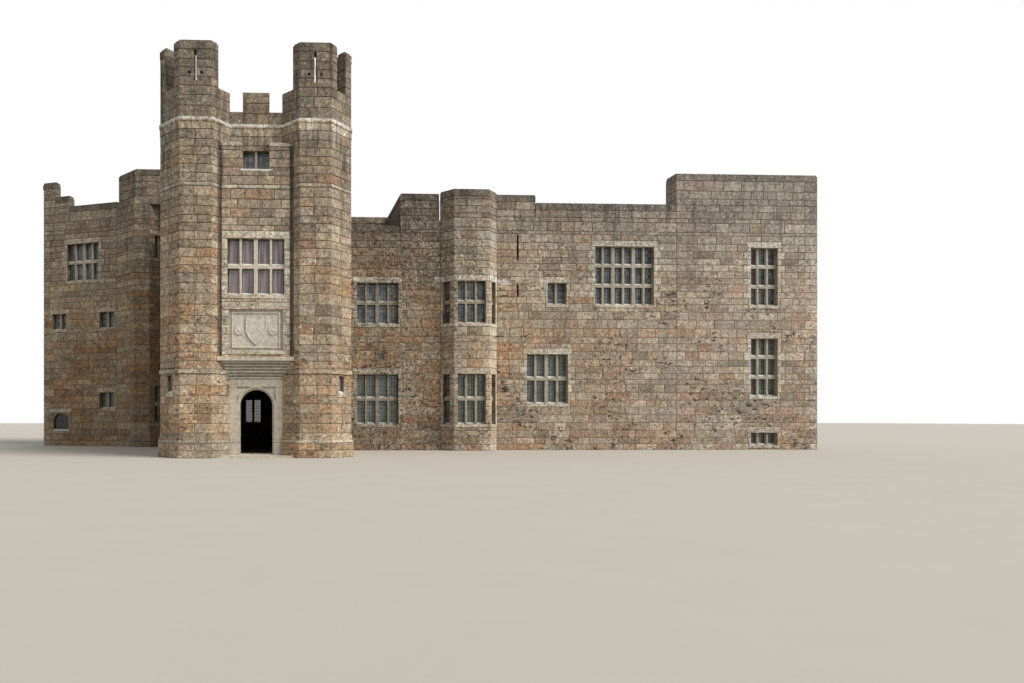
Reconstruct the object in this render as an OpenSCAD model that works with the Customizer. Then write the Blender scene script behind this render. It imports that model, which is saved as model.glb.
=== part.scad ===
// Granite castle keep: an entrance tower with two canted turrets, a long range with a canted bay,
// a raised end block, and a corbelled link turret with a turned left block behind the tower.
// Origin: middle of the doorway, on the outer face of the door wall, at ground level.
// +X runs to the right along the front, +Y runs into the building, +Z is up.

/* [Tower plan] */
// Distance between the centres of the two front turrets
turret_pitch = 4600; // [4200:50:5200]
// Distance from a turret's centre to each of its faces
turret_reach = 1460; // [1250:10:1600]
// How far the turret fronts stand ahead of the door wall
door_recess = 650; // [500:10:800]
// How far the centre panel stands ahead of the door wall
panel_proud = 360; // [200:10:420]
// Length of a turret's flank, which carries a long corner merlon
turret_flank = 2000; // [1300:10:2400]
// Width of the groove between the centre panel and each turret
panel_groove = 65; // [40:5:90]
// Thickness of the tower's walls
tower_wall = 800; // [600:10:900]

/* [Tower heights] */
// Height of the moulded plinth, up to where it meets the wall
plinth_h = 950; // [700:10:1100]
// How far the plinth stands proud of the wall
plinth_proud = 80; // [30:5:120]
// Underside of the string course above the doorway
string_z = 3250; // [3150:10:3500]
// Height of that string course
string_h = 160; // [100:10:240]
// Underside of the moulded band below the battlements
crown_z = 12620; // [12500:10:12900]
// Height of that band
crown_h = 450; // [200:10:500]
// How far the string course and the band stand proud
string_proud = 60; // [20:5:100]
// Open joint at each end of a length of plinth, string course or band
band_joint = 3; // [2:1:8]
// Height of the turrets' low parapet above the band
turret_parapet_h = 1230; // [800:10:1400]
// Height of a turret merlon without its cap stone
turret_merlon_h = 1370; // [900:10:1600]
// Height of the cap stone on a turret merlon
cap_h = 360; // [200:10:450]
// Height of the low parapet between and behind the turrets
low_parapet_h = 500; // [300:10:600]
// Height of the merlons between and behind the turrets
low_merlon_h = 770; // [500:10:1000]
// Thickness of every parapet
parapet_wall = 420; // [300:10:550]

/* [Battlements] */
// Share of a canted face that the front merlon covers
merlon_wrap = 0.27; // [0.15:0.01:0.4]
// Height of the cross loop's foot above the low parapet
loop_foot = 230; // [150:10:300]
// Width of the merlon over the doorway
centre_merlon_w = 1000; // [700:10:1300]
// Width of a merlon on the tower's sides and rear
side_merlon_w = 1000; // [700:10:1300]
// Distance between merlons on the tower's sides and rear
side_merlon_gap = 900; // [600:10:1200]
// Height of the cross loop's slit
loop_h = 1060; // [700:10:1100]
// Width of the cross loop's slit
loop_w = 70; // [50:5:110]
// Radius of the round holes that end the cross loop
loop_r = 60; // [40:5:90]
// Distance from the slit to each of the two round side holes
loop_arm = 240; // [160:10:300]
// Height of the side holes above the slit's foot
loop_arm_z = 250; // [150:10:500]

/* [Doorway] */
// Clear width of the doorway
door_w = 1280; // [1000:10:1400]
// Height from the ground to the springing of the arch
door_spring = 2020; // [1700:10:2100]
// Height of the threshold stone
threshold_h = 110; // [60:5:160]
// Height of the step in front of the threshold
step_h = 80; // [40:5:100]
// How far the step stands back from the turret fronts
step_setback = 90; // [0:10:200]
// Width of the moulded band round the doorway
door_band_w = 130; // [80:5:180]
// Depth of the moulded band and of the sunk spandrels
door_band_d = 70; // [30:5:120]
// Underside of the corbel table over the doorway
corbel_z = 3050; // [2950:10:3150]
// Height of the corbel table
corbel_h = 860; // [700:10:1000]
// How far the corbel table's ledge stands ahead of the centre panel
ledge_proud = 150; // [60:10:220]
// Number of rolls in the corbel table
corbel_rolls = 6; // [4:1:8]
// Height of the ledge that ends the corbel table
ledge_h = 150; // [80:10:200]
// How far the corbel table widens on each side from its foot to its top
corbel_spread = 330; // [150:10:380]
// How far the sunk spandrels reach below the springing of the arch
spandrel_drop = 40; // [10:10:120]
// Height of the sunk spandrels
spandrel_h = 796; // [780:2:860]

/* [Centre panel] */
// Width of the sunk relief panel
relief_w = 2060; // [1600:10:2200]
// Height of the sunk relief panel
relief_h = 1580; // [1200:10:1700]
// Underside of the relief panel
relief_z = 4160; // [4050:10:4300]
// Depth of the recess that holds the relief panel
relief_d = 160; // [100:10:220]
// Sill height of the large window
large_sill = 6320; // [6100:10:6600]
// Width of one light in the large window
large_light = 460; // [380:5:460]
// How far the large window's mullions stand back from the centre panel
large_reveal = 50; // [20:5:60]
// Height of one tier of lights in the large window
large_tier = 1030; // [850:10:1150]
// Sill height of the small window between the shoulder piers
small_sill = 11200; // [11000:10:11400]
// Width of one light in the small window
small_light = 465; // [350:5:480]
// Height of the small window
small_tier = 830; // [500:10:850]
// Height of the piers beside the small window
shoulder_z = 12210; // [11950:10:12300]
// Rise of the sloped shoulder stones on those piers
shoulder_h = 190; // [100:10:300]
// Distance from the small window to the piers beside it
pier_gap = 20; // [10:5:40]
// Width of the slit windows in the turrets' outer cants
slit_w = 300; // [150:10:380]
// Height of the slit windows
slit_h = 680; // [400:10:750]
// Sill height of the slit windows
slit_sill = 2500; // [2200:10:2550]

/* [Range plan] */
// Distance from the door wall to the range's front
range_front = 5650; // [5000:50:6500]
// Distance from the door wall to the rear of the whole building
rear_y = 14150; // [13500:50:15000]
// Thickness of the other walls of the range, end block and left block
range_wall = 700; // [500:10:800]
// Distance from the tower's centre to the raised part of the range
raised_x = 6770; // [6600:10:6900]
// Distance from the tower's centre to the bay
bay_x = 8700; // [8500:10:9000]
// Width of the bay's front face
bay_w = 1690; // [1650:10:1800]
// Thickness of the bay's walls
bay_wall = 400; // [320:10:420]
// How far the bay projects
bay_d = 520; // [400:10:600]
// Distance from the tower's centre to the end of the raised parapet
mid_x = 13320; // [13200:10:13500]
// Distance from the tower's centre to the end block
end_x = 20300; // [19600:10:20600]
// Distance from the tower's centre to the far end wall
far_x = 27350; // [27000:10:27500]
// Depth of the low part beside the tower
low_depth = 3880; // [3400:10:4300]

/* [Range heights] */
// Wall height below the parapets of the range
range_z = 11050; // [10850:10:11200]
// Wall height of the low part beside the tower
low_z = 9700; // [9500:10:9900]
// Top of the low part's parapet
low_top = 10800; // [10500:10:11000]
// Top of the raised parapet
raised_top = 12340; // [12000:10:12400]
// Top of the bay's parapet
bay_top = 12420; // [12300:10:12600]
// Top of the parapet between the bay and the end block
mid_top = 11970; // [11600:10:12000]
// Top of the end block's parapet
end_top = 13480; // [13000:10:13600]
// Thickness of the end block's front parapet
end_screen = 850; // [600:10:900]
// Slot between the raised parapet and the bay's parapet
bay_slot = 80; // [40:5:120]
// Height of every coping stone
coping_h = 340; // [200:10:400]
// How far a coping stands proud of the wall
coping_proud = 35; // [10:5:60]
// Thickness of every floor and roof slab
slab_h = 300; // [200:10:400]
// Top of the ground floor slab of the range
ground_z = 150; // [100:10:300]
// Top of the first floor slab of the tower and range
first_z = 5200; // [5000:10:5400]
// Top of the second floor slab of the tower
second_z = 10100; // [9900:10:10300]
// Top of the first floor slab of the end block
end_first_z = 6150; // [5900:10:6400]

/* [Range windows] */
// Width of one light in a window of two or four lights
light_w = 410; // [340:5:420]
// Width of one light in a tall window of three or six lights
tall_light = 380; // [320:5:390]
// Width of a thin mullion
mullion_w = 95; // [80:5:130]
// Width of the thick mullion between pairs of lights
king_mullion_w = 160; // [130:5:220]
// Height of a transom
transom_h = 120; // [90:5:150]
// Depth of the mullions
mullion_d = 160; // [120:10:220]
// How far the mullions stand back from the wall's face
window_reveal = 120; // [60:10:200]
// Thickness of the glass
glass_d = 20; // [8:2:30]
// Sill height of the lower row
lower_sill = 1250; // [1100:10:1400]
// Tier height of the lower row
lower_tier = 1130; // [1000:10:1200]
// Sill height of the upper row
upper_sill = 6050; // [5900:10:6200]
// Tier height of the upper row
upper_tier = 940; // [850:10:1000]
// Sill height of the tall upper windows
tall_sill = 7050; // [6950:10:7150]
// Tier height of the tall windows
tall_tier = 860; // [800:10:900]
// Sill height of the window between bay and end block, lower row
mid_sill = 2240; // [2100:10:2400]
// Sill height of the end block's lower window
end_sill = 2610; // [2500:10:2700]
// Sill height of the low basement light
base_sill = 220; // [170:10:300]
// Height of the low basement light
base_tier = 600; // [450:10:700]
// Height of the single row of small windows
small_row_tier = 1030; // [900:10:1100]

/* [Window places] */
// Distance from the tower to the windows of the low part
low_window_x = 900; // [700:10:1000]
// Distance from the bay's corner to the light in its cant
cant_edge = 130; // [110:5:140]
// Distance from the bay to the two narrow slots
slot_x = 980; // [700:10:1100]
// Width of those slots
slot_w = 90; // [60:5:120]
// Sill height of the lower slot
slot_low_sill = 7420; // [7200:10:7600]
// Height of the lower slot
slot_low_h = 600; // [400:10:900]
// Sill height of the upper slot
slot_high_sill = 9180; // [9000:10:9300]
// Height of the upper slot
slot_high_h = 1200; // [800:10:1300]
// Distance from the bay to the lower window of the middle part
mid_low_x = 1490; // [1300:10:1700]
// Distance from the bay to the small window of the middle part
mid_pair_x = 2500; // [2300:10:2700]
// Distance from the bay to the large window of the middle part
mid_six_x = 4850; // [4600:10:5000]
// Distance from the end block's left edge to its windows
end_window_x = 3730; // [3400:10:4200]
// Height of a window sill above the floor behind it
sill_h = 900; // [700:10:1000]
// Distance from the tower's middle to the low window of its rear
rear_light_x = 550; // [0:50:900]
// Height of that window
rear_tier = 1400; // [900:10:1500]
// Number of window bays on the end block's side
side_bays = 2; // [1:1:3]
// Number of window bays on the range's rear
rear_bays = 4; // [2:1:5]

/* [Left block] */
// Distance from the door wall to the link turret's front
link_front = 9950; // [9400:50:10500]
// Width of the link turret's front face
link_w = 820; // [700:10:1000]
// Distance from the tower's centre to the link turret's left front corner
link_x = 6800; // [6700:10:6900]
// How far the left cant of the link turret runs back
link_cant = 1170; // [1000:10:1300]
// How far the right cant of the link turret runs back
link_recess = 980; // [800:10:1050]
// Turn of the left block away from the tower's front
left_turn = 18; // [12:1:22]
// Length of the left block's front
left_w = 4800; // [4700:10:4820]
// Chamfer of the left block's front corner
left_chamfer = 170; // [100:10:250]
// Depth of the left block
left_depth = 6500; // [5500:50:7500]
// Wall height of the left block
left_z = 12150; // [11900:10:12300]
// Top of the left block's parapet
left_top = 13500; // [13200:10:13600]
// Rise of the low stepped merlon of the left corner
left_step_low = 600; // [400:10:800]
// Rise of the high stepped merlon of the left corner
left_step_high = 1450; // [1100:10:1500]
// Width of each stepped merlon
left_merlon_w = 900; // [700:10:1000]
// Underside of the ledge round the link turret
link_ledge_z = 9350; // [9200:10:9600]
// Height of that ledge
link_ledge_h = 200; // [100:10:300]
// Underside of the link turret's corbelled parapet
link_soffit = 13000; // [12800:10:13200]
// Top of the link turret's parapet
link_top = 14950; // [14500:10:15200]
// How far the link turret's parapet stands back from the wall below it
link_inset = 150; // [60:10:200]
// Sill height of the left block's arched light
left_arch_sill = 880; // [800:10:950]
// Sill height of the left block's low window
left_low_sill = 2070; // [1950:10:2200]
// Sill height of the left block's middle windows
left_mid_sill = 6540; // [6400:10:6700]
// Sill height of the left block's top window
left_top_sill = 9250; // [9100:10:9400]
// Height of the left block's small windows
left_small_tier = 890; // [800:10:950]
// Tier height of the left block's top window
left_tier = 980; // [900:10:1020]
// Width of the arched light
left_arch_w = 1000; // [800:10:1100]
// Height of the arched light's upright sides
left_arch_jamb = 450; // [200:10:500]
// Distance from the link turret to the left block's top window
left_top_x = 3150; // [2900:10:3300]
// Distance from the link turret to the outer of the two middle windows
left_outer_x = 4120; // [4000:10:4200]
// Distance from the link turret to the inner middle window and the low one
left_inner_x = 1090; // [1000:10:1300]
// Distance from the link turret to the arched light
left_arch_x = 4070; // [3900:10:4150]
// Rise of the topmost window of the left block's side above the front one's sill
left_side_rise = 500; // [0:10:600]
// Width of one light in the link turret's windows
link_light = 300; // [240:5:340]
// Tier height of the link turret's lower window
link_low_tier = 960; // [800:10:1100]
// Sill height of the link turret's upper window
link_high_sill = 10180; // [9900:10:10400]
// Height of the link turret's upper window
link_high_tier = 1230; // [900:10:1400]

/* [Hidden] */

granite = "tan";
pale_granite = "wheat";
dark_granite = "rosybrown";
lead_grey = "slategray";
glass_blue = "steelblue";

// Share of a coping's or cap's height that its weathered top takes
weathered = 0.25;
// Where the plinth's courses end, as shares of its height, and how proud each stands
plinth_ends = [0, 0.62, 0.72, 0.86, 1];
plinth_stands = [1, 1.25, 0.7, 0.3];
// Share of the crown band that its fascia takes, and how proud that stands beside the lip
fascia_share = 0.65;
fascia_stand = 0.6;

// Outward side of the line from a to b, for an outline that runs anticlockwise
function side(a, b) = [b.y - a.y, a.x - b.x] / norm(b - a);

// Mitre vector at b: b plus d times this vector lies d outside both faces
function mitre(a, b, c) = (side(a, b) + side(b, c)) / (1 + side(a, b) * side(b, c));

// Mitre vectors of an outline; the ends of an open one are square
function mitres(pts, closed) = [
  for (i = [0 : len(pts) - 1])
    let (last = len(pts) - 1)
    !closed && i == 0 ? side(pts[0], pts[1]) :
    !closed && i == last ? side(pts[last - 1], pts[last]) :
    mitre(pts[(i + last) % (last + 1)], pts[i], pts[(i + 1) % (last + 1)])
];

// Outline moved outwards by d
function moved(pts, vecs, d) = [for (i = [0 : len(pts) - 1]) pts[i] + d * vecs[i]];

// Point at a share of the way from a to b
function along(a, b, share) = a + share * (b - a);

// Direction on the plan
function heading(turn) = [cos(turn), sin(turn)];

// Wall along an outline from point first to point last, with mitred ends
module walls(pts, vecs, first, last, z0, z1, thick, proud = 0) {
  translate([0, 0, z0])
    linear_extrude(z1 - z0)
      polygon(concat(
        [for (i = [first : last]) pts[i] + proud * vecs[i]],
        [for (i = [last : -1 : first]) pts[i] - thick * vecs[i]]));
}

// Wall along a few points with square ends
module strip(pts, z0, z1, thick, proud = 0) {
  walls(pts, mitres(pts, false), 0, len(pts) - 1, z0, z1, thick, proud);
}

// Parapet along a few points, with a coping stone that stands proud on both sides
module coped(pts, z0, z1, thick = parapet_wall) {
  top = z1 - coping_h * weathered;
  strip(pts, z0, z1 - coping_h, thick);
  strip(pts, z1 - coping_h, top, thick + coping_proud, coping_proud);
  strip(pts, top, z1, thick - coping_proud, -coping_proud);
}

// Merlon with its cap stone, which is weathered at the top
module merlon(pts, z0, z1) {
  top = z1 + cap_h * (1 - weathered);
  strip(pts, z0, z1, parapet_wall);
  strip(pts, z1, top, parapet_wall + coping_proud, coping_proud);
  strip(pts, top, z1 + cap_h, parapet_wall - coping_proud, -coping_proud);
}

// Places its children on the face that runs from a to b: +X along it, -Y outwards
module on_face(a, b) {
  run = b - a;
  translate([a.x, a.y, 0])
    rotate([0, 0, atan2(run.y, run.x)])
      children();
}

// A window is [left edge, sill, lights, tiers, light width, tier height, lights per thick mullion]
function kings(win) = win[6] == 0 ? 0 : ceil(win[2] / win[6]) - 1;
function win_w(win) =
  win[2] * win[4] + (win[2] - 1) * mullion_w + kings(win) * (king_mullion_w - mullion_w);
function win_h(win) = win[3] * win[5] + (win[3] - 1) * transom_h;
function is_king(win, k) = win[6] > 0 && k % win[6] == 0;
function kings_before(win, k) = win[6] == 0 ? 0 : ceil(k / win[6]) - 1;
function mullion_x(win, k) =
  k * win[4] + (k - 1) * mullion_w + kings_before(win, k) * (king_mullion_w - mullion_w);

// Window with its middle at a given place
function centred(middle, win) =
  [middle - win_w(win) / 2, win[1], win[2], win[3], win[4], win[5], win[6]];

// Kinds of window, each with its left edge at a given place and a given sill
function pair(x, sill, tiers, tier) = [x, sill, 2, tiers, light_w, tier, 0];
function quad(x, sill, tiers, tier) = [x, sill, 4, tiers, light_w, tier, 2];
function triple(x, sill, tiers, tier) = [x, sill, 3, tiers, tall_light, tier, 0];
function single(x, sill, tiers, tier) = [x, sill, 1, tiers, tall_light, tier, 0];

// Holes for the windows of one face
module window_holes(wins, depth) {
  for (win = wins)
    translate([win[0], -depth / 2, win[1]])
      cube([win_w(win), depth * 2, win_h(win)]);
}

// Stone mullions and transoms of the windows of one face
module window_stone(wins, setback) {
  for (win = wins)
    translate([win[0], setback, win[1]]) {
      for (k = [1 : 1 : win[2] - 1])
        translate([mullion_x(win, k), 0, 0])
          cube([is_king(win, k) ? king_mullion_w : mullion_w, mullion_d, win_h(win)]);
      for (k = [1 : 1 : win[3] - 1])
        translate([0, 0, k * win[5] + (k - 1) * transom_h])
          cube([win_w(win), mullion_d, transom_h]);
    }
}

// Glass behind the mullions of the windows of one face
module window_panes(wins, setback) {
  for (win = wins)
    translate([win[0], setback + mullion_d, win[1]])
      cube([win_w(win), glass_d, win_h(win)]);
}

// Plan of the tower, anticlockwise from the rear left corner
turret_x = turret_pitch / 2;
turret_half = turret_reach * tan(22.5);
tower_x = turret_x + turret_reach;
front_y = -door_recess;
turret_y = front_y + turret_reach;
flank_y = turret_y - turret_half + turret_flank;
door_half = turret_x - turret_half - door_recess;
link_wall_y = link_front + link_recess;
tower_pts = [
  [-tower_x, rear_y], [-tower_x, link_wall_y], [-tower_x, flank_y],
  [-tower_x, turret_y - turret_half], [-turret_x - turret_half, front_y],
  [-turret_x + turret_half, front_y], [-door_half, 0], [door_half, 0],
  [turret_x - turret_half, front_y], [turret_x + turret_half, front_y],
  [tower_x, turret_y - turret_half], [tower_x, flank_y],
  [tower_x, range_front], [tower_x, rear_y], [-tower_x, rear_y]
];
tower_vecs = [
  for (i = [0 : 14])
    i == 0 || i == 14 ? [-1, 1] : i == 13 ? [1, 1] :
    mitre(tower_pts[i - 1], tower_pts[i], tower_pts[i + 1])
];
tower_inner = moved(tower_pts, tower_vecs, -tower_wall);
battlement_z = crown_z + crown_h;

// Point a joint's width from a towards b
function eased(a, b) = a + band_joint * (b - a) / norm(b - a);

// Cuts the bands of the tower off square to their sides, a joint short of each end
module between(first, last) {
  pts = [
    for (i = [0 : 14])
      i == first ? eased(tower_pts[i], tower_pts[i + 1]) :
      i == last ? eased(tower_pts[i], tower_pts[i - 1]) : tower_pts[i]
  ];
  intersection() {
    walls(pts, tower_vecs, first, last, -1, battlement_z + 1, tower_wall * 1.1, tower_wall / 2);
    children();
  }
}

// Band round the tower that stands proud of its sides and is let into them
module band(first, last, z0, z1, proud, thick = tower_wall / 2) {
  walls(tower_pts, tower_vecs, first - 1, last + 1, z0, z1, thick, proud);
}

// Plinth: a plain base course, a nosing and two set-back courses that weather it off
module plinth(first, last) {
  for (k = [0 : len(plinth_stands) - 1])
    band(first, last, plinth_h * plinth_ends[k], plinth_h * plinth_ends[k + 1],
         plinth_proud * plinth_stands[k]);
}

// Band below the battlements: a lower fascia and a bolder top member
module crown_band(first, last, thick = tower_wall / 2) {
  lip_z = crown_z + crown_h * fascia_share;
  between(first, last) {
    band(first, last, crown_z, lip_z, string_proud * fascia_stand, thick);
    band(first, last, lip_z, battlement_z, string_proud, thick);
  }
}

// Sides of the tower from point first to point last, with the string course and the band
module tower_sides(first, last, lower = true, upper = true) {
  walls(tower_pts, tower_vecs, first, last, 0, battlement_z, tower_wall);
  if (lower)
    between(first, last) {
      plinth(first, last);
      band(first, last, string_z, string_z + string_h, string_proud);
    }
  if (upper)
    crown_band(first, last);
}

// Slit window in a canted face
module slit_hole(a, b) {
  on_face(a, b)
    translate([(norm(b - a) - slit_w) / 2, -tower_wall / 2, slit_sill])
      cube([slit_w, tower_wall * 2, slit_h]);
}

module left_turret() {
  color(granite)
    difference() {
      tower_sides(2, 6);
      slit_hole(tower_pts[3], tower_pts[4]);
    }
}

module right_turret() {
  color(granite)
    difference() {
      tower_sides(7, 11);
      slit_hole(tower_pts[9], tower_pts[10]);
    }
}

module tower_side_walls() {
  color(granite) {
    tower_sides(0, 1, false, false);
    tower_sides(1, 2);
    tower_sides(11, 12);
    tower_sides(12, 13, false, true);
  }
}

module tower_rear_wall() {
  color(granite)
    difference() {
      tower_sides(13, 14, false, false);
      on_face(tower_pts[13], tower_pts[14])
        window_holes(tower_rear_windows, tower_wall);
    }
}

// Cross loop cut through a merlon, centred on x = 0 with its foot at z = 0
module cross_loop() {
  rotate([90, 0, 0])
    linear_extrude(4 * parapet_wall, center = true) {
      translate([-loop_w / 2, 0])
        square([loop_w, loop_h]);
      for (end = [0, loop_h])
        translate([0, end])
          circle(loop_r, $fn = 32);
      for (arm = [-loop_arm, loop_arm])
        translate([arm, loop_arm_z])
          circle(loop_r, $fn = 32);
    }
}

// Battlements of the left turret; the right one mirrors them
module turret_crown() {
  low_z1 = battlement_z + turret_parapet_h;
  merlon_z1 = low_z1 + turret_merlon_h;
  flank = tower_pts[2];
  corner = tower_pts[3];
  outer = tower_pts[4];
  inner = tower_pts[5];
  cant_end = inner + [turret_half, turret_half] * sqrt(2);
  walls(tower_pts, tower_vecs, 2, 6, battlement_z, low_z1, parapet_wall);
  difference() {
    merlon([along(outer, corner, merlon_wrap), outer, inner, along(inner, cant_end, merlon_wrap)],
           low_z1, merlon_z1);
    translate([-turret_x, front_y, low_z1 + loop_foot])
      cross_loop();
  }
  merlon([flank, corner, along(corner, outer, merlon_wrap)], low_z1, merlon_z1);
}

module left_turret_crown() {
  color(dark_granite)
    turret_crown();
}

module right_turret_crown() {
  color(dark_granite)
    mirror([1, 0, 0])
      turret_crown();
}

low_z1 = battlement_z + low_parapet_h;

module centre_parapet() {
  color(dark_granite) {
    crown_band(6, 7, tower_wall);
    walls(tower_pts, tower_vecs, 6, 7, battlement_z, low_z1, parapet_wall);
    translate([-centre_merlon_w / 2, 0, low_z1])
      cube([centre_merlon_w, parapet_wall, low_merlon_h]);
  }
}

// Merlons evenly spaced along the face from a to b
module merlon_row(a, b) {
  length = norm(b - a);
  count = floor((length - side_merlon_gap) / (side_merlon_w + side_merlon_gap));
  pitch = length / count;
  on_face(a, b)
    for (k = [0 : count - 1])
      translate([(k + 0.5) * pitch - side_merlon_w / 2, 0, low_z1])
        cube([side_merlon_w, parapet_wall, low_merlon_h]);
}

module tower_rear_parapet() {
  rear = [tower_pts[11], tower_pts[13], tower_pts[14], tower_pts[2]];
  color(dark_granite) {
    strip(rear, battlement_z, low_z1, parapet_wall);
    for (k = [0 : 2])
      merlon_row(rear[k], rear[k + 1]);
  }
}

// Clear arch of the doorway, as an outline on the wall's face
module door_shape(grow = 0) {
  half = door_w / 2 + grow;
  translate([-half, -1])
    square([2 * half, door_spring + 1]);
  translate([0, door_spring])
    circle(half, $fn = 96);
}

// Cuts a shape drawn on the door wall's face, from the front to a given depth
module from_front(depth) {
  translate([0, depth, 0])
    rotate([90, 0, 0])
      linear_extrude(depth + 1)
        children();
}

// The door wall in one piece, before it is split into jambs and head
module door_wall(z0, z1, x0, x1) {
  intersection() {
    difference() {
      walls(tower_pts, tower_vecs, 6, 7, z0, z1, tower_wall);
      from_front(2 * tower_wall)
        door_shape();
      from_front(door_band_d)
        door_shape(door_band_w * 0.5);
      from_front(door_band_d)
        difference() {
          spandrel_half = door_w / 2 + door_band_w;
          translate([-spandrel_half, door_spring - spandrel_drop])
            square([2 * spandrel_half, spandrel_h]);
          door_shape(door_band_w);
        }
    }
    translate([x0, -1, z0])
      cube([x1 - x0, tower_wall + 2, z1 - z0]);
  }
}

module door_wall_left() {
  color(pale_granite)
    door_wall(0, door_spring, -2 * door_half, -door_w / 2);
}

module door_wall_right() {
  color(pale_granite)
    door_wall(0, door_spring, door_w / 2, 2 * door_half);
}

module door_head() {
  color(pale_granite)
    door_wall(door_spring, corbel_z, -2 * door_half, 2 * door_half);
}

// Threshold under the doorway, and the step in front of it between the plinths
module door_stones() {
  clear = plinth_proud * sqrt(2);
  step_y = -door_recess + step_setback;
  color(pale_granite) {
    translate([-door_w / 2, 0, 0])
      cube([door_w, tower_wall, threshold_h]);
    linear_extrude(step_h)
      polygon([[clear - door_half, 0], [clear - door_half + step_y, step_y],
               [door_half - clear - step_y, step_y], [door_half - clear, 0]]);
  }
}

// Centre panel's plan, with a groove beside each turret
panel_y = -panel_proud;
panel_half = door_half + panel_proud - panel_groove;

// The corbel table fills the nook between the turrets, less a groove beside each
function corbel_plan() = [
  [-door_half, 0], [-door_half + panel_groove, 0],
  [-door_half - panel_proud - ledge_proud + panel_groove, panel_y - ledge_proud],
  [door_half + panel_proud + ledge_proud - panel_groove, panel_y - ledge_proud],
  [door_half - panel_groove, 0], [door_half, 0]
];

module corbel_table() {
  roll_h = (corbel_h - ledge_h) / corbel_rolls;
  roll_r = roll_h * 0.4;
  step = panel_proud / corbel_rolls;
  color(pale_granite)
    intersection() {
      union() {
        translate([-2 * door_half, 0, corbel_z])
          cube([4 * door_half, tower_wall, corbel_h]);
        for (k = [0 : corbel_rolls - 1]) {
          half = panel_half - corbel_spread * (1 - (k + 1) / corbel_rolls);
          front = -step * (k + 1);
          z = corbel_z + k * roll_h;
          translate([-half, front + roll_r, z])
            cube([2 * half, tower_wall - front - roll_r, roll_h]);
          translate([-half, front + roll_r, z + roll_h - roll_r])
            rotate([0, 90, 0])
              cylinder(r = roll_r, h = 2 * half, $fn = 32);
        }
        translate([-2 * door_half, panel_y - ledge_proud, corbel_z + corbel_h - ledge_h])
          cube([4 * door_half, tower_wall, ledge_h]);
      }
      linear_extrude(corbel_z + corbel_h)
        polygon(concat(corbel_plan(), [tower_inner[7], tower_inner[6]]));
    }
}

module relief_panel() {
  color(pale_granite)
    translate([-relief_w / 2, panel_y + relief_d / 2, relief_z])
      cube([relief_w, relief_d / 2, relief_h]);
}

centre_windows = [
  centred(0, [0, large_sill, 4, 2, large_light, large_tier, 2])
];
shoulder_windows = [
  centred(0, [0, small_sill, 2, 1, small_light, small_tier, 0])
];
tower_rear_windows = [
  centred(tower_x + rear_light_x, pair(0, lower_sill, 1, rear_tier)),
  centred(tower_x, quad(0, large_sill, 2, large_tier)),
  centred(tower_x, pair(0, second_z + sill_h, 1, small_tier))
];

module centre_wall() {
  z0 = corbel_z + corbel_h;
  pier_x0 = win_w(shoulder_windows[0]) / 2 + pier_gap;
  color(granite)
    difference() {
      union() {
        walls(tower_pts, tower_vecs, 6, 7, z0, crown_z, tower_wall);
        translate([0, 0, z0])
          linear_extrude(small_sill - z0)
            polygon([[-panel_half, panel_y], [panel_half, panel_y],
                     [door_half - panel_groove, 0], [panel_groove - door_half, 0]]);
        for (m = [0, 1])
          mirror([m, 0, 0])
            pier(pier_x0);
      }
      window_holes(centre_windows, tower_wall);
      window_holes(shoulder_windows, tower_wall);
      translate([-relief_w / 2, panel_y - 1, relief_z])
        cube([relief_w, relief_d + 1, relief_h]);
    }
}

// Pier beside the small window, with its sloped shoulder stone
module pier(x0) {
  translate([0, 0, small_sill])
    linear_extrude(shoulder_z - small_sill)
      polygon([[x0, panel_y], [panel_half, panel_y], [door_half - panel_groove, 0], [x0, 0]]);
  intersection() {
    translate([0, 0, shoulder_z])
      linear_extrude(shoulder_h)
        polygon([[x0, panel_y], [panel_half, panel_y], [door_half - panel_groove, 0], [x0, 0]]);
    translate([0, 0, shoulder_z])
      rotate([90, 0, 90])
        linear_extrude(panel_half)
          polygon([[panel_y, 0], [0, 0], [0, shoulder_h]]);
  }
}

module tower_mullions() {
  color(pale_granite) {
    window_stone(centre_windows, panel_y + large_reveal);
    window_stone(shoulder_windows, window_reveal);
    on_face(tower_pts[13], tower_pts[14])
      window_stone(tower_rear_windows, window_reveal);
  }
}

module tower_glass() {
  color(glass_blue) {
    window_panes(centre_windows, panel_y + large_reveal);
    window_panes(shoulder_windows, window_reveal);
    on_face(tower_pts[13], tower_pts[14])
      window_panes(tower_rear_windows, window_reveal);
    for (cant = [[tower_pts[3], tower_pts[4]], [tower_pts[9], tower_pts[10]]])
      on_face(cant[0], cant[1])
        translate([(norm(cant[1] - cant[0]) - slit_w) / 2, window_reveal, slit_sill])
          cube([slit_w, glass_d, slit_h]);
  }
}

// Slab with its top at a given height
module slab(pts, top, thick = slab_h) {
  translate([0, 0, top - thick])
    linear_extrude(thick)
      polygon(pts);
}

module tower_floors() {
  room = [for (i = [0 : 13]) tower_inner[i]];
  color(lead_grey) {
    slab(room, threshold_h, threshold_h);
    slab(room, first_z);
    slab(room, second_z);
  }
}

module tower_roof() {
  room = [for (i = [0 : 13]) tower_inner[i]];
  color(lead_grey)
    slab(room, crown_z);
}

// Plan of the range and end block, anticlockwise from the tower
range_pts = [
  [tower_x, range_front], [raised_x, range_front], [bay_x, range_front],
  [bay_x + bay_d, range_front - bay_d], [bay_x + bay_d + bay_w, range_front - bay_d],
  [bay_x + bay_w + 2 * bay_d, range_front], [end_x, range_front], [far_x, range_front],
  [far_x, rear_y], [end_x, rear_y], [tower_x, rear_y]
];
range_vecs = mitres(range_pts, false);
range_inner = moved(range_pts, range_vecs, -range_wall);
bay_inner = moved(range_pts, range_vecs, -bay_wall);
low_back_y = range_front + low_depth;

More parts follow.
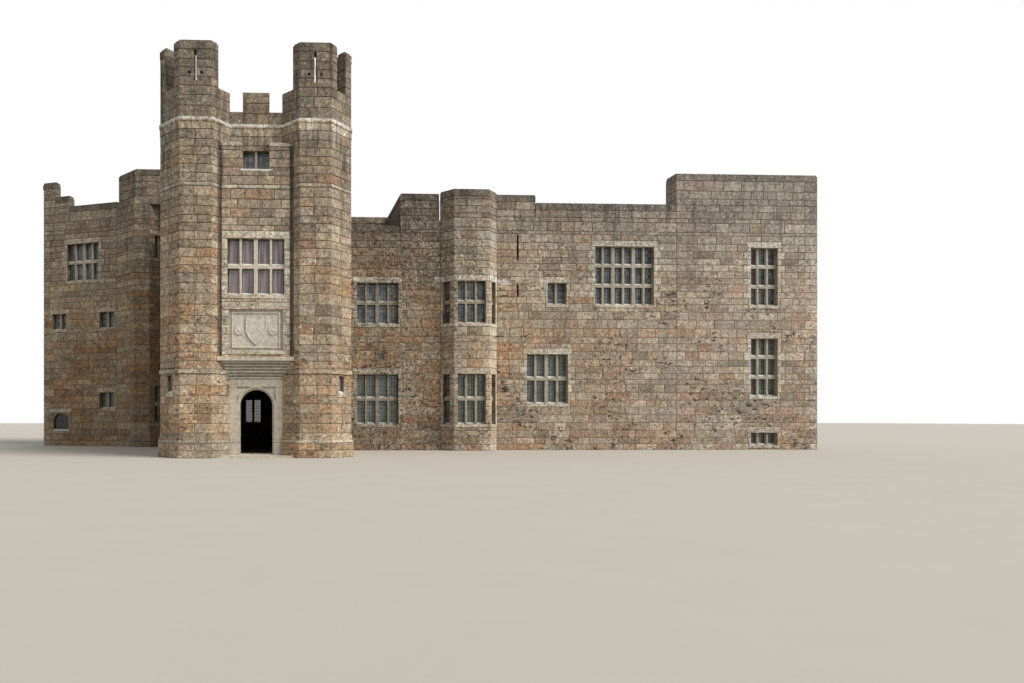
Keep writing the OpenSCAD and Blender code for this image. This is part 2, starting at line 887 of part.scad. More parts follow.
low_windows = [
  quad(low_window_x, lower_sill, 2, lower_tier),
  quad(low_window_x, upper_sill, 2, upper_tier)
];
bay_windows = [
  centred(bay_w / 2, triple(0, lower_sill, 2, lower_tier)),
  centred(bay_w / 2, triple(0, upper_sill, 2, upper_tier))
];
bay_cant = bay_d * sqrt(2);
function cant_lights(x) = [single(x, lower_sill, 2, lower_tier), single(x, upper_sill, 2, upper_tier)];
left_cant_windows = cant_lights(cant_edge);
right_cant_windows = cant_lights(bay_cant - cant_edge - tall_light);
mid_windows = [
  [slot_x, slot_low_sill, 1, 1, slot_w, slot_low_h, 0],
  [slot_x, slot_high_sill, 1, 1, slot_w, slot_high_h, 0],
  quad(mid_low_x, mid_sill, 2, lower_tier),
  pair(mid_pair_x, tall_sill, 1, small_row_tier),
  [mid_six_x, tall_sill, 6, 3, tall_light, tall_tier, 2]
];
end_windows = [
  triple(end_window_x, tall_sill, 3, tall_tier),
  triple(end_window_x, end_sill, 3, tall_tier),
  triple(end_window_x, base_sill, 1, base_tier)
];
depth_x = rear_y - range_front;
side_windows = [
  for (k = [1 : side_bays])
    for (sill = [end_sill, tall_sill])
      centred(depth_x * (k - 0.5) / side_bays, triple(0, sill, 3, tall_tier))
];
end_rear_windows = [
  for (sill = [end_sill, tall_sill])
    centred((far_x - end_x) / 2, triple(0, sill, 3, tall_tier))
];
range_rear_windows = [
  for (k = [1 : rear_bays])
    for (row = [[lower_sill, lower_tier], [upper_sill, upper_tier]])
      centred((end_x - tower_x) * (k - 0.5) / rear_bays, quad(0, row[0], 2, row[1]))
];

module range_front_wall() {
  color(granite) {
    difference() {
      union() {
        walls(range_pts, range_vecs, 0, 1, 0, low_z, range_wall);
        walls(range_pts, range_vecs, 1, 2, 0, range_z, range_wall);
      }
      on_face(range_pts[0], range_pts[1])
        window_holes(low_windows, range_wall);
    }
    difference() {
      walls(range_pts, range_vecs, 5, 6, 0, range_z, range_wall);
      on_face(range_pts[5], range_pts[6])
        window_holes(mid_windows, range_wall);
    }
  }
}

module bay_walls() {
  color(granite)
    difference() {
      walls(range_pts, range_vecs, 2, 5, 0, range_z, bay_wall);
      on_face(range_pts[2], range_pts[3])
        window_holes(left_cant_windows, bay_wall);
      on_face(range_pts[3], range_pts[4])
        window_holes(bay_windows, bay_wall);
      on_face(range_pts[4], range_pts[5])
        window_holes(right_cant_windows, bay_wall);
    }
}

module bay_parapet() {
  color(dark_granite)
    coped([for (i = [2 : 5]) range_pts[i]], range_z, bay_top);
}

module range_rear_wall() {
  color(granite)
    difference() {
      walls(range_pts, range_vecs, 9, 10, 0, range_z, range_wall);
      on_face(range_pts[9], range_pts[10])
        window_holes(range_rear_windows, range_wall);
    }
}

module range_parapets() {
  color(dark_granite) {
    coped([range_pts[0], range_pts[1]], low_z, low_top);
    coped([[raised_x, low_back_y + parapet_wall], [raised_x, range_front], [bay_x - bay_slot, range_front]],
          range_z, raised_top);
    coped([range_pts[5], [mid_x, range_front]], range_z, raised_top);
    coped([[mid_x, range_front], range_pts[6]], range_z, mid_top);
    coped([range_pts[9], range_pts[10]], range_z, mid_top);
  }
}

// Upper walls behind the low part beside the tower
module setback_walls() {
  color(granite) {
    coped([[tower_x, low_back_y], [raised_x, low_back_y]], low_z, raised_top);
    translate([raised_x, range_inner[0].y, low_z])
      cube([parapet_wall, low_back_y + parapet_wall - range_inner[0].y, range_z - low_z]);
  }
}

module range_mullions() {
  color(pale_granite)
    for (item = range_faces)
      on_face(range_pts[item[0]], range_pts[item[0] + 1])
        window_stone(item[1], window_reveal);
}

module range_glass() {
  color(glass_blue)
    for (item = range_faces)
      on_face(range_pts[item[0]], range_pts[item[0] + 1])
        window_panes(item[1], window_reveal);
}
range_faces = [
  [0, low_windows], [2, left_cant_windows], [3, bay_windows], [4, right_cant_windows], [5, mid_windows],
  [6, end_windows], [7, side_windows], [8, end_rear_windows], [9, range_rear_windows]
];

module range_floors() {
  inner = range_inner;
  front = concat([inner[0], inner[2]], [for (i = [2 : 5]) bay_inner[i]], [inner[5]]);
  room = concat(front, [inner[6], inner[9], inner[10]]);
  end_room = [inner[6], inner[7], inner[8], inner[9]];
  color(lead_grey) {
    slab(concat(front, [inner[7], inner[8], inner[10]]), ground_z, ground_z);
    slab(room, first_z);
    slab(end_room, end_sill - sill_h);
    slab(end_room, end_first_z);
  }
}

module range_roof() {
  inner = range_inner;
  low_y = low_back_y + parapet_wall;
  return_x = raised_x + parapet_wall;
  color(lead_grey) {
    slab([inner[0], [return_x, inner[0].y], [return_x, low_y], [tower_x, low_y]], low_z);
    slab(concat([[tower_x, low_y], [return_x, low_y], [return_x, inner[0].y], inner[2]],
                [for (i = [2 : 5]) bay_inner[i]], [inner[5], inner[7], inner[8], inner[10]]), range_z);
  }
}

module end_front_wall() {
  color(granite)
    difference() {
      walls(range_pts, range_vecs, 6, 7, 0, range_z, range_wall);
      on_face(range_pts[6], range_pts[7])
        window_holes(end_windows, range_wall);
    }
}

module end_side_wall() {
  color(granite)
    difference() {
      walls(range_pts, range_vecs, 7, 8, 0, range_z, range_wall);
      on_face(range_pts[7], range_pts[8])
        window_holes(side_windows, range_wall);
    }
}

module end_rear_wall() {
  color(granite)
    difference() {
      walls(range_pts, range_vecs, 8, 9, 0, range_z, range_wall);
      on_face(range_pts[8], range_pts[9])
        window_holes(end_rear_windows, range_wall);
    }
}

module end_parapet() {
  color(dark_granite) {
    coped([range_pts[6], range_pts[7]], range_z, end_top, end_screen);
    coped([[far_x, range_front + end_screen], range_pts[8], range_pts[9]], range_z, mid_top);
  }
}

// Plan of the link turret and the turned left block, anticlockwise from the rear of the tower
left_along = heading(180 - left_turn);
left_back = heading(90 - left_turn);
link_corner = [-link_x - link_cant, link_front + link_cant];
left_corner = link_corner + left_w * left_along;
left_join = link_corner + (rear_y - link_corner.y) / left_back.y * left_back;
left_pts = [
  [-tower_x, rear_y], left_join, link_corner + left_depth * left_back,
  left_corner + left_depth * left_back, left_corner, link_corner, [-link_x, link_front],
  [link_w - link_x, link_front], [link_w + link_recess - link_x, link_wall_y], [-tower_x, link_wall_y]
];
left_vecs = mitres(left_pts, false);
left_inner = moved(left_pts, left_vecs, -range_wall);

// Place on the left block's front face, measured back from the link turret
function from_link(s) = left_w - s;

// Cuts the chamfer off the left block's front corner
module corner_chamfer() {
  far = left_corner + 2 * left_chamfer * (left_along - left_back);
  linear_extrude(left_top + left_step_high + 1)
    polygon([left_corner + left_chamfer * left_back, far, left_corner - left_chamfer * left_along]);
}
left_front_windows = [
  quad(from_link(left_top_x), left_top_sill, 2, left_tier),
  pair(from_link(left_outer_x), left_mid_sill, 1, left_small_tier),
  pair(from_link(left_inner_x), left_mid_sill, 1, left_small_tier),
  pair(from_link(left_inner_x), left_low_sill, 1, left_small_tier)
];
link_face = link_recess * sqrt(2);
link_windows = [
  centred(link_face / 2, [0, lower_sill, 2, 2, link_light, link_low_tier, 0]),
  centred(link_face / 2, [0, link_high_sill, 2, 1, link_light, link_high_tier, 0])
];
left_side_windows = [
  for (sill = [left_low_sill, left_mid_sill, left_top_sill + left_side_rise])
    centred(left_depth / 2, pair(0, sill, 1, left_small_tier))
];
left_rear_windows = [
  for (sill = [left_low_sill, left_mid_sill])
    centred(left_w / 2, pair(0, sill, 1, left_small_tier)),
  centred(left_w / 2, quad(0, left_top_sill, 2, left_tier))
];

module arched_light() {
  translate([from_link(left_arch_x), 0, left_arch_sill])
    rotate([90, 0, 0])
      linear_extrude(2 * range_wall, center = true) {
        square([left_arch_w, left_arch_jamb]);
        translate([left_arch_w / 2, left_arch_jamb])
          circle(left_arch_w / 2, $fn = 64);
      }
}

module link_turret() {
  ledge = [eased(left_pts[5], left_pts[6]), left_pts[6], eased(left_pts[7], left_pts[6])];
  color(granite) {
    difference() {
      walls(left_pts, left_vecs, 5, 9, 0, link_soffit, range_wall);
      on_face(left_pts[7], left_pts[8])
        window_holes(link_windows, range_wall);
    }
    strip(ledge, link_ledge_z, link_ledge_z + link_ledge_h, range_wall / 2, string_proud);
  }
}

// Parapet of the link turret, carried on over the nook beside the tower
module link_parapet() {
  end = [-tower_x, link_front];
  rim = [left_pts[5], left_pts[6], end];
  course = concat(rim, [for (i = [9 : -1 : 5]) left_inner[i]]);
  color(dark_granite) {
    slab(course, link_soffit + coping_h, coping_h);
    coped(moved(rim, mitres(rim, false), -link_inset), link_soffit + coping_h, link_top);
  }
}

module left_front_wall() {
  color(granite)
    difference() {
      walls(left_pts, left_vecs, 4, 5, 0, left_z, range_wall);
      corner_chamfer();
      on_face(left_pts[4], left_pts[5]) {
        window_holes(left_front_windows, range_wall);
        arched_light();
      }
    }
}

module left_side_walls() {
  color(granite) {
    difference() {
      walls(left_pts, left_vecs, 3, 4, 0, left_z, range_wall);
      corner_chamfer();
      on_face(left_pts[3], left_pts[4])
        window_holes(left_side_windows, range_wall);
    }
    walls(left_pts, left_vecs, 0, 2, 0, left_z, range_wall);
  }
}

module left_rear_wall() {
  color(granite)
    difference() {
      walls(left_pts, left_vecs, 2, 3, 0, left_z, range_wall);
      on_face(left_pts[2], left_pts[3])
        window_holes(left_rear_windows, range_wall);
    }
}

module left_parapet() {
  merlon_at = left_corner - left_merlon_w * left_along;
  second_at = left_corner - 2 * left_merlon_w * left_along;
  side_at = left_corner + left_merlon_w * left_back;
  color(dark_granite)
    difference() {
      union() {
        coped([left_pts[0], left_pts[1], left_pts[2], left_pts[3], side_at], left_z, left_top);
        coped([side_at, left_corner, merlon_at], left_z, left_top + left_step_high);
        coped([merlon_at, second_at], left_z, left_top + left_step_low);
        coped([second_at, left_pts[5]], left_z, left_top);
      }
      corner_chamfer();
    }
}

left_faces = [
  [4, left_front_windows], [7, link_windows], [3, left_side_windows], [2, left_rear_windows]
];

module left_mullions() {
  color(pale_granite)
    for (item = left_faces)
      on_face(left_pts[item[0]], left_pts[item[0] + 1])
        window_stone(item[1], window_reveal);
}

module left_glass() {
  color(glass_blue) {
    for (item = left_faces)
      on_face(left_pts[item[0]], left_pts[item[0] + 1])
        window_panes(item[1], window_reveal);
    on_face(left_pts[4], left_pts[5])
      intersection() {
        arched_light();
        translate([0, window_reveal, 0])
          cube([left_w, glass_d, left_z]);
      }
  }
}

module left_floors() {
  color(lead_grey) {
    slab(left_inner, ground_z, ground_z);
    slab(left_inner, left_mid_sill - sill_h);
    slab(left_inner, left_top_sill - sill_h);
  }
}

module left_roof() {
  color(lead_grey)
    slab(left_inner, left_z);
}

left_turret();
right_turret();
left_turret_crown();
right_turret_crown();
centre_parapet();
tower_side_walls();
tower_rear_wall();
tower_rear_parapet();
door_wall_left();
door_wall_right();
door_head();
door_stones();
corbel_table();
relief_panel();
centre_wall();
tower_mullions();
tower_glass();
tower_floors();
tower_roof();
range_front_wall();
bay_walls();
bay_parapet();
range_rear_wall();
range_parapets();
setback_walls();
range_mullions();
range_glass();
range_floors();
range_roof();
end_front_wall();
end_side_wall();
end_rear_wall();
end_parapet();
link_turret();
link_parapet();
left_front_wall();
left_side_walls();
left_rear_wall();
left_parapet();
left_mullions();
left_glass();
left_floors();
left_roof();
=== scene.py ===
import math
import random

import bmesh
import bpy
import numpy as np
from mathutils import Matrix, Vector, noise
from mathutils.bvhtree import BVHTree


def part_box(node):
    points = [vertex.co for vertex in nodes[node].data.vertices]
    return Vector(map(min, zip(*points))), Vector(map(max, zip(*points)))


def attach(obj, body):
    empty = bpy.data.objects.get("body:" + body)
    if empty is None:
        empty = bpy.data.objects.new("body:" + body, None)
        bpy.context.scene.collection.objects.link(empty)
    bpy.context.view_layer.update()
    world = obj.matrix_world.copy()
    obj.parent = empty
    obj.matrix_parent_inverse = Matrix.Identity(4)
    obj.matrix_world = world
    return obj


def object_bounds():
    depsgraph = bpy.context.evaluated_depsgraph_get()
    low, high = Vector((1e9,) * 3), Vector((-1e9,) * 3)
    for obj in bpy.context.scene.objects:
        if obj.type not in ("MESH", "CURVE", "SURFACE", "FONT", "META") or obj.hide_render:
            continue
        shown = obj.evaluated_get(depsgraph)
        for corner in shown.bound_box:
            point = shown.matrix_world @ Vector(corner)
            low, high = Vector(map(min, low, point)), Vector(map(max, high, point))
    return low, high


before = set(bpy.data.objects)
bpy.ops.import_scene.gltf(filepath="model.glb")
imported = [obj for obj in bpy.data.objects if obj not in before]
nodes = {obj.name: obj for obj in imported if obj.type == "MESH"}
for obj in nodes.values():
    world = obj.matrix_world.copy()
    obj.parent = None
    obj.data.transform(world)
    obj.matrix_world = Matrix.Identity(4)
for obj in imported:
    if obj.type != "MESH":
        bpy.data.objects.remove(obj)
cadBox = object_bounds()
up = Vector((0, 0, 1))
print("frame loaded:", len(nodes), "nodes")

# Camera, where the photograph was taken from
camera = {"place": (0.74, -26.91, 1.5), "turn": -2.2, "lens": 24, "sensor": 36, "shift": (0.2059, 0.0757),
          "farthest": 500}


def addObject(name, data):
    made = bpy.data.objects.new(name, data)
    bpy.context.scene.collection.objects.link(made)
    return made


lens = bpy.data.cameras.new("camera")
lens.lens = camera["lens"]
lens.sensor_width = camera["sensor"]
lens.shift_x, lens.shift_y = camera["shift"]
lens.clip_end = camera["farthest"]
eye = addObject("camera", lens)
eye.location = camera["place"]
eye.rotation_euler = (math.radians(90), 0, math.radians(camera["turn"]))
bpy.context.scene.camera = eye


# A socket that can be used in plain sums
class Sock:
    def __init__(self, maker, socket):
        self.maker = maker
        self.socket = socket

    def __add__(self, other):
        return self.maker.sum("ADD", self, other)

    def __sub__(self, other):
        return self.maker.sum("SUBTRACT", self, other)

    def __rsub__(self, other):
        return self.maker.sum("SUBTRACT", other, self)

    def __mul__(self, other):
        return self.maker.sum("MULTIPLY", self, other)

    def __truediv__(self, other):
        return self.maker.sum("DIVIDE", self, other)

    def __gt__(self, other):
        return self.maker.sum("GREATER_THAN", self, other)

    def __lt__(self, other):
        return self.maker.sum("LESS_THAN", self, other)

    def __abs__(self):
        return self.maker.sum("ABSOLUTE", self)

    __radd__ = __add__
    __rmul__ = __mul__

    def between(self, low, high):
        # 0 below low, 1 above high, smooth in between
        return self.maker.node("MapRange", {"interpolation_type": "SMOOTHSTEP"},
                               {"Value": self, "From Min": low, "From Max": high})

    def within(self, low, high):
        return (self > low) * (self < high)


# Makes the nodes of one material or of the world
class NodeMaker:
    def __init__(self, tree):
        self.tree = tree

    def node(self, kind, settings=None, links=None, output=0):
        made = self.tree.nodes.new("ShaderNode" + kind)
        for key, value in (settings or {}).items():
            if key == "stops":
                self.setStops(made.color_ramp, value)
            else:
                setattr(made, key, value)
        for key, value in (links or {}).items():
            self.plug(made.inputs[key], value)
        return Sock(self, made.outputs[output])

    def setStops(self, ramp, stops):
        while len(ramp.elements) < len(stops):
            ramp.elements.new(0.5)
        for element, (at, colour) in zip(ramp.elements, stops):
            element.position = at
            element.color = (*colour, 1)

    def plug(self, socket, value):
        if isinstance(value, Sock):
            self.tree.links.new(value.socket, socket)
        elif isinstance(value, tuple) and socket.type == "RGBA":
            socket.default_value = (*value, 1)
        else:
            socket.default_value = value

    def sum(self, operation, a, b=0):
        return self.node("Math", {"operation": operation}, {0: a, 1: b})


# One material, with the places and directions of its surface at hand
class Finish(NodeMaker):
    def __init__(self, name, roughness=0.9):
        self.material = bpy.data.materials.new(name)
        self.material.use_nodes = True
        super().__init__(self.material.node_tree)
        self.shader = self.tree.nodes["Principled BSDF"]
        self.shader.inputs["Roughness"].default_value = roughness
        self.place = self.node("TexCoord", output="Object")
        self.across, self.depth, self.height = self.parts(self.place)
        self.normalX, self.normalY, self.facing = self.parts(self.node("NewGeometry", output="True Normal"))

    def parts(self, vector):
        return [self.node("SeparateXYZ", {}, {0: vector}, k) for k in range(3)]

    def inside(self, name):
        # 1 within a part of the building, 0 elsewhere
        part, mask = building[name], 1
        for place, low, high in ((self.across, "left", "right"), (self.depth, "front", "rear"),
                                 (self.height, "foot", "top")):
            if low in part:
                mask = mask * (place > part[low])
            if high in part:
                mask = mask * (place < part[high])
        return mask

    def mix(self, share, a, b):
        return self.node("Mix", {"data_type": "RGBA"}, {0: share, 6: a, 7: b}, 2)

    # mixes a named tone in, for stains and for painted light and shade
    def stainedAndShaded(self, share, colour, name):
        return self.mix(share, colour, tone(name))

    def ramp(self, value, stops, interpolation="LINEAR"):
        colour = self.node("ValToRGB", {"stops": stops}, {"Fac": value})
        colour.socket.node.color_ramp.interpolation = interpolation
        return colour

    def noise(self, scale, detail=3, roughness=0.55, vector=None):
        # three scales stretch the pattern
        if isinstance(scale, tuple):
            vector, scale = self.node("Mapping", {}, {"Vector": self.place, "Scale": scale}), 1
        return self.node("TexNoise", {}, {"Vector": vector or self.place, "Scale": scale, "Detail": detail,
                                          "Roughness": roughness}, "Fac")

    def pattern(self, name, vector=None):
        scale, detail, roughness, low, high = patterns[name]
        return self.noise(scale, detail, roughness, vector).between(low, high)

    def brightened(self, colour, value, saturation=1.0):
        return self.node("HueSaturation", {}, {"Color": colour, "Value": value, "Saturation": saturation})

    def paint(self, colour, height, strength, distance):
        # gives the material its colour and its fine relief
        normal = self.node("Bump", {}, {"Height": height, "Strength": strength, "Distance": distance})
        self.plug(self.shader.inputs["Base Color"], colour)
        self.plug(self.shader.inputs["Normal"], normal)
        return self.material


def fromDisplay(*colour):
    # linear colour of a colour as a screen shows it, from 0 to 255
    return tuple(c / 255 / 12.92 if c <= 10 else ((c / 255 + 0.055) / 1.055) ** 2.4 for c in colour)


# Finishes; the colours are as a screen shows them
granite = {
    "plain": [(170, 154, 131), (181, 164, 138), (155, 142, 123), (174, 159, 137), (164, 147, 122)],
    "warm": [(166, 132, 97), (154, 115, 84), (171, 143, 110)],
    "pink": [(165, 141, 119), (152, 131, 111)],
    "dark": [(122, 107, 88), (134, 120, 100)],
}
palette = granite["plain"] * 2 + granite["pink"] + granite["warm"] + granite["dark"]
# grime serves real grime and painted shade; pit, pane, fold, skyReflectionPane, groundReflectionPane and
# cellarPane carry painted light and shade
tones = {
    "aged": (108, 100, 88), "pale": (198, 191, 175), "lichen": (216, 213, 205), "carved": (205, 199, 185),
    "tooled": (202, 194, 177), "mullion": (172, 162, 143), "mean": (166, 151, 129),
    "rust": (178, 130, 82), "joint": (92, 78, 61), "mortar": (150, 133, 108), "grime": (54, 47, 39),
    "pit": (40, 34, 27), "pane": (74, 82, 88), "skyReflectionPane": (146, 153, 156), "groundReflectionPane": (118, 126, 114),
    "cellarPane": (30, 28, 26), "fold": (92, 82, 86), "cloth": (164, 151, 153), "cames": (54, 56, 56),
    "sheetLead": (124, 126, 127), "flags": (110, 100, 88), "floor": (191, 185, 175),
}
# parts of the building by their bounds; shade makes a part lighter or darker than the rest
building = {
    "tower": {"left": -4.2, "right": 4.2, "rear": 6.5},
    "towerFront": {"left": -4.2, "right": 4.2, "rear": 0.6},
    "centrePanel": {"left": -1.345, "right": 1.345, "rear": 0.6, "foot": 6.0, "shade": 0.07},
    "leftTurret": {"left": -4.2, "right": -1.6, "rear": 0.6, "foot": 5.0, "shade": -0.08},
    "rightTurret": {"left": 1.5, "right": 4.2, "rear": 0.6, "foot": 5.0, "shade": -0.06},
    # leftSide and linkTurret: painted shade, as the block lies in the tower's shade, on top of its darker
    # stone
    "leftSide": {"right": -4.2, "shade": -0.06},
    "linkTurret": {"left": -7.0, "right": -4.2, "shade": -0.06},
    "leftBasement": {"right": -9.0, "top": 2.4},
    "rangeHigh": {"left": 4.3, "foot": 7.0, "shade": -0.05},
    "bay": {"left": 7.0, "front": 2.0, "rear": 5.6, "shade": 0.1},
    "endHigh": {"left": 19.5, "foot": 7.0, "shade": 0.1},
    "rangeSide": {"left": 3.0, "front": 5.0},
    "behindTower": {"front": 5.0},
    "windowHeads": {"left": 3.0, "front": 5.0, "foot": 7.98, "top": 8.34},
    "curtained": {"rear": 2.0, "top": 9.5},
}
# patterns of the weather: scale, detail, roughness, and the values where each starts and is full
patterns = {
    "patches": ((0.32, 0.32, 0.8), 4, 0.55, 0.46, 0.62),
    "rust": (1.5, 5, 0.65, 0.52, 0.70),
    "pits": ((3.0, 3.0, 5.6), 4, 0.66, 0.562, 0.585),
    "pitted": (0.6, 3, 0.5, 0.49, 0.56),
    "drips": (0.8, 3, 0.5, 0.50, 0.60),
    "runs": ((7.5, 7.5, 0.7), 3, 0.6, 0.50, 0.62),
    "heads": (2.3, 3, 0.6, 0.53, 0.58),
}
# heights on the tower; a moulding is its foot, its top and how pale it is; shadowed and capShadow are the
# depths of painted shadow, nook the bounds of painted shade
tower = {"lipLow": 12.985, "lipHigh": 13.085, "dripFoot": 12.1, "shadowed": 0.055, "ledge": (12.2, 12.45),
         "mouldings": [(0.589, 0.684, 0.5), (3.25, 3.41, 0.15), (10.44, 10.59, 0.2)],
         "thinCourse": (10.44, 10.59), "panelFront": -0.2, "panelCap": (12.10, 12.30), "capShadow": 0.05,
         "nook": (1.28, 1.35, 1.43, 1.52), "nookFoot": 3.95, "nookFront": -0.48, "runs": (11.2, 12.4)}
# dark is the strength of the painted shade in the hollow at the foot of each roll
corbel = {"foot": 3.05, "roll": 0.1183, "top": 3.76, "dark": 0.6}


def tone(name):
    return fromDisplay(*tones[name])


def towerStainsAndShade(finish, streaks):
    # pale lips, mouldings and panel cap, lichen that runs down from them, streaks of grime, and painted
    # light: highlights on the ledge tops, shadow under the mouldings and the panel's cap, shade in the nooks
    height, depth, aside = finish.height, finish.depth, abs(finish.across)
    onTower, front = finish.inside("tower"), finish.inside("towerFront")
    lipLow = tower["lipLow"]
    lip = (height + finish.noise(2.6, 5, 0.7) * 0.12).between(lipLow + 0.02, lipLow + 0.06)
    drips = (height + streaks * 1.6).between(tower["dripFoot"] + 0.9, lipLow + 0.8)
    lip = lip * 0.65 + drips * finish.pattern("drips") * 0.32
    # faces turned up on the ledge are made pale: painted highlight
    ledge = height.within(*tower["ledge"]) * (finish.facing > 0.2)
    stainsAndShade = [(onTower * (height < tower["lipHigh"]) * lip, "lichen"), (onTower * ledge * 0.7, "pale")]
    for foot, top, share in tower["mouldings"]:
        # a band under each moulding's foot: painted shadow
        under = height.between(foot - tower["shadowed"], foot) * (height < foot)
        stainsAndShade += [(onTower * height.within(foot, top) * share, "pale"), (onTower * under * 0.7, "grime")]
    # nook: painted shade down the nooks between the centre panel and the turrets
    start, full, fading, end = tower["nook"]
    nook = aside.between(start, full) * (1 - aside.between(fading, end))
    nook = nook * (depth > tower["nookFront"]) * height.within(tower["nookFoot"], tower["dripFoot"])
    capLow, capHigh = tower["panelCap"]
    cap = front * (aside < building["centrePanel"]["right"]) * (depth < tower["panelFront"])
    # capShadow: painted shadow under the panel's cap
    capShadow = height.within(capLow - tower["capShadow"], capLow)
    runs = finish.pattern("runs") * height.between(*tower["runs"]) * (height < lipLow)
    return stainsAndShade + [
        (front * nook * 0.8, "grime"),
        (cap * height.within(capLow, capHigh) * 0.55, "pale"),
        (cap * capShadow * 0.6, "grime"),
        (onTower * runs * 0.5, "grime"),
    ]


def addWeather(finish, colour, worn, vector=None, stain=1.0, grain=1.0):
    # rust, streaks, pits, grime, lichen and mottling that age gives any granite here, with painted shade in
    # the pits and on faces turned down, the tower's painted light and shade, and the range darker beside the
    # tower
    across, height = finish.across, finish.height
    mottle = finish.noise(6.5, 6, 0.78, vector)
    speckle = finish.noise(17, 2, 0.6)
    streaks = finish.noise((3.4, 3.4, 0.3), 5, 0.65)
    low = 1 - height.between(6.5, 10.5)
    leftSide = finish.inside("leftSide")
    # pits: dark spots for small hollows in the stone, with the shade inside them painted
    pits = finish.pattern("pits") * finish.pattern("pitted") * (1 - leftSide * 0.6)
    pits = pits * (0.15 + low * (0.75 - finish.inside("tower") * 0.3))
    foot = building["windowHeads"]["foot"]
    heads = finish.inside("windowHeads") * height.between(foot, foot + 0.08) * finish.pattern("heads")
    stainsAndShade = [
        (worn, "aged"),
        (finish.pattern("patches") * (0.1 + low * 0.2) * stain, "rust"),
        (finish.pattern("rust", vector) * (0.1 + low * 0.26) * stain, "rust"),
        (streaks.between(0.48, 0.70) * (0.16 + worn * 0.9) * stain, "grime"),
        (pits * stain, "pit"),
        *towerStainsAndShade(finish, streaks),
        (heads * (1 - across.between(13.6, 14.6)) * 0.9, "lichen"),
        (mottle.between(0.58, 0.70) * 0.45 * grain, "lichen"),
    ]
    for share, name in stainsAndShade:
        colour = finish.stainedAndShaded(share, colour, name)
    value = ((mottle - 0.5) * 3.5 + (speckle - 0.5) * 2.1) * grain + finish.noise(0.45, 3, 0.5) * 0.5 + 0.77
    # faces turned down are darker: painted shade on the undersides
    value = value - (0 - finish.facing).between(0.15, 0.8) * 0.3
    # the range is darker beside the tower, out towards the bay
    value = value - finish.inside("rangeSide") * (1 - across.between(8.5, 12.0)) * 0.36
    for name, part in building.items():
        if "shade" in part:
            value = value + finish.inside(name) * part["shade"]
    faded = 0.97 - across.between(9, 22) * 0.20 + leftSide * 0.1
    faded = faded - height.between(7, 11) * finish.inside("behindTower") * 0.1
    return finish.brightened(colour, value, faded), mottle, speckle


# what each loose stone carries for its finish
stoneValues = ("tint", "tone", "aged", "edge", "dressed")


def stoneFinish():
    # loose stones: each has its own tint, tone and age, and its own piece of the patterns; the tone of the
    # block and link turret carries painted shade
    finish = Finish("granite_blocks")
    tint, shade, aged, edge, dressed = [
        finish.node("Attribute", {"attribute_name": name}, output="Fac") for name in stoneValues]
    shift = finish.node("CombineXYZ", {}, {0: tint * 31, 1: shade * 17, 2: tint * 11})
    own = finish.node("VectorMath", {"operation": "ADD"}, {0: finish.place, 1: shift})
    stops = [(k / len(palette), fromDisplay(*colour)) for k, colour in enumerate(palette)]
    colour = finish.stainedAndShaded(0.28, finish.ramp(tint, stops, "CONSTANT"), "mean")
    colour = finish.stainedAndShaded(dressed, colour, "pale")
    colour, mottle, speckle = addWeather(finish, colour, aged, own, 1 - dressed * 0.75)
    ragged = edge + finish.noise(8, 4, 0.7) * 1.5 - 0.75
    upper = (finish.height + finish.noise(0.7, 3) * 4).between(8.5, 12)
    pointing = finish.mix(upper, tone("mortar"), tone("joint"))
    colour = finish.mix(ragged.between(0.30, 0.85) * 0.45, colour, pointing)
    colour = finish.brightened(colour, 0.86 + shade * 0.30)
    finish.plug(finish.shader.inputs["Roughness"], 0.80 + speckle * 0.15)
    return finish.paint(colour, mottle * 0.7 + speckle * 0.3, 0.8, 0.03)


# what a wall's own faces show where they lie bare
shell = {"blockLength": 0.92, "perMetre": 2.9, "stagger": 0.37, "seam": 0.03, "worn": 0.2, "wornTop": 0.65}


def shellFinish(name, bands, parapet, shade):
    # a wall behind the stones: joints everywhere, worked stone on its bands and on what lies flat; shade
    # darkens the block and link turret with painted shade
    finish = Finish(name)
    across, height, facing = finish.across, finish.height, finish.facing
    shown = facing > 0.3
    for low, high in bands:
        shown = shown + height.within(low - 0.002, high + 0.002)
    shown = finish.node("Clamp", {}, {0: shown})
    run = (finish.depth * finish.normalX - across * finish.normalY) / shell["blockLength"]
    run = run + finish.sum("FLOOR", height * shell["perMetre"]) * shell["stagger"]
    seam = (finish.sum("FRACT", run) < shell["seam"]) * (facing < 0.3)
    block = finish.node("TexWhiteNoise", {"noise_dimensions": "1D"}, {"W": finish.sum("FLOOR", run)})
    worn = shell["worn"]
    if parapet:
        exposed = finish.sum("MAXIMUM", height > tower["lipHigh"], finish.inside("behindTower"))
        worn = worn + exposed * shell["wornTop"]
    colour, mottle, speckle = addWeather(finish, fromDisplay(*granite["plain"][1]), worn)
    # shade below 1 is painted shade, on the block and link turret
    colour = finish.brightened(colour, (0.78 + block * 0.34) * shade - seam * 0.4)
    pointed = finish.noise(2.2, 4) + 0.06 + across.between(9, 17) * 0.1
    pointed = pointed - height.between(7, 11.5) * 0.12
    joints = finish.mix(pointed.between(0.46, 0.58), tone("joint"), tone("mortar"))
    joints = finish.brightened(joints, shade + across.between(12, 18) * 0.15)
    return finish.paint(finish.mix(shown, joints, colour), mottle * 0.7 + speckle * 0.3, 0.6, 0.02)


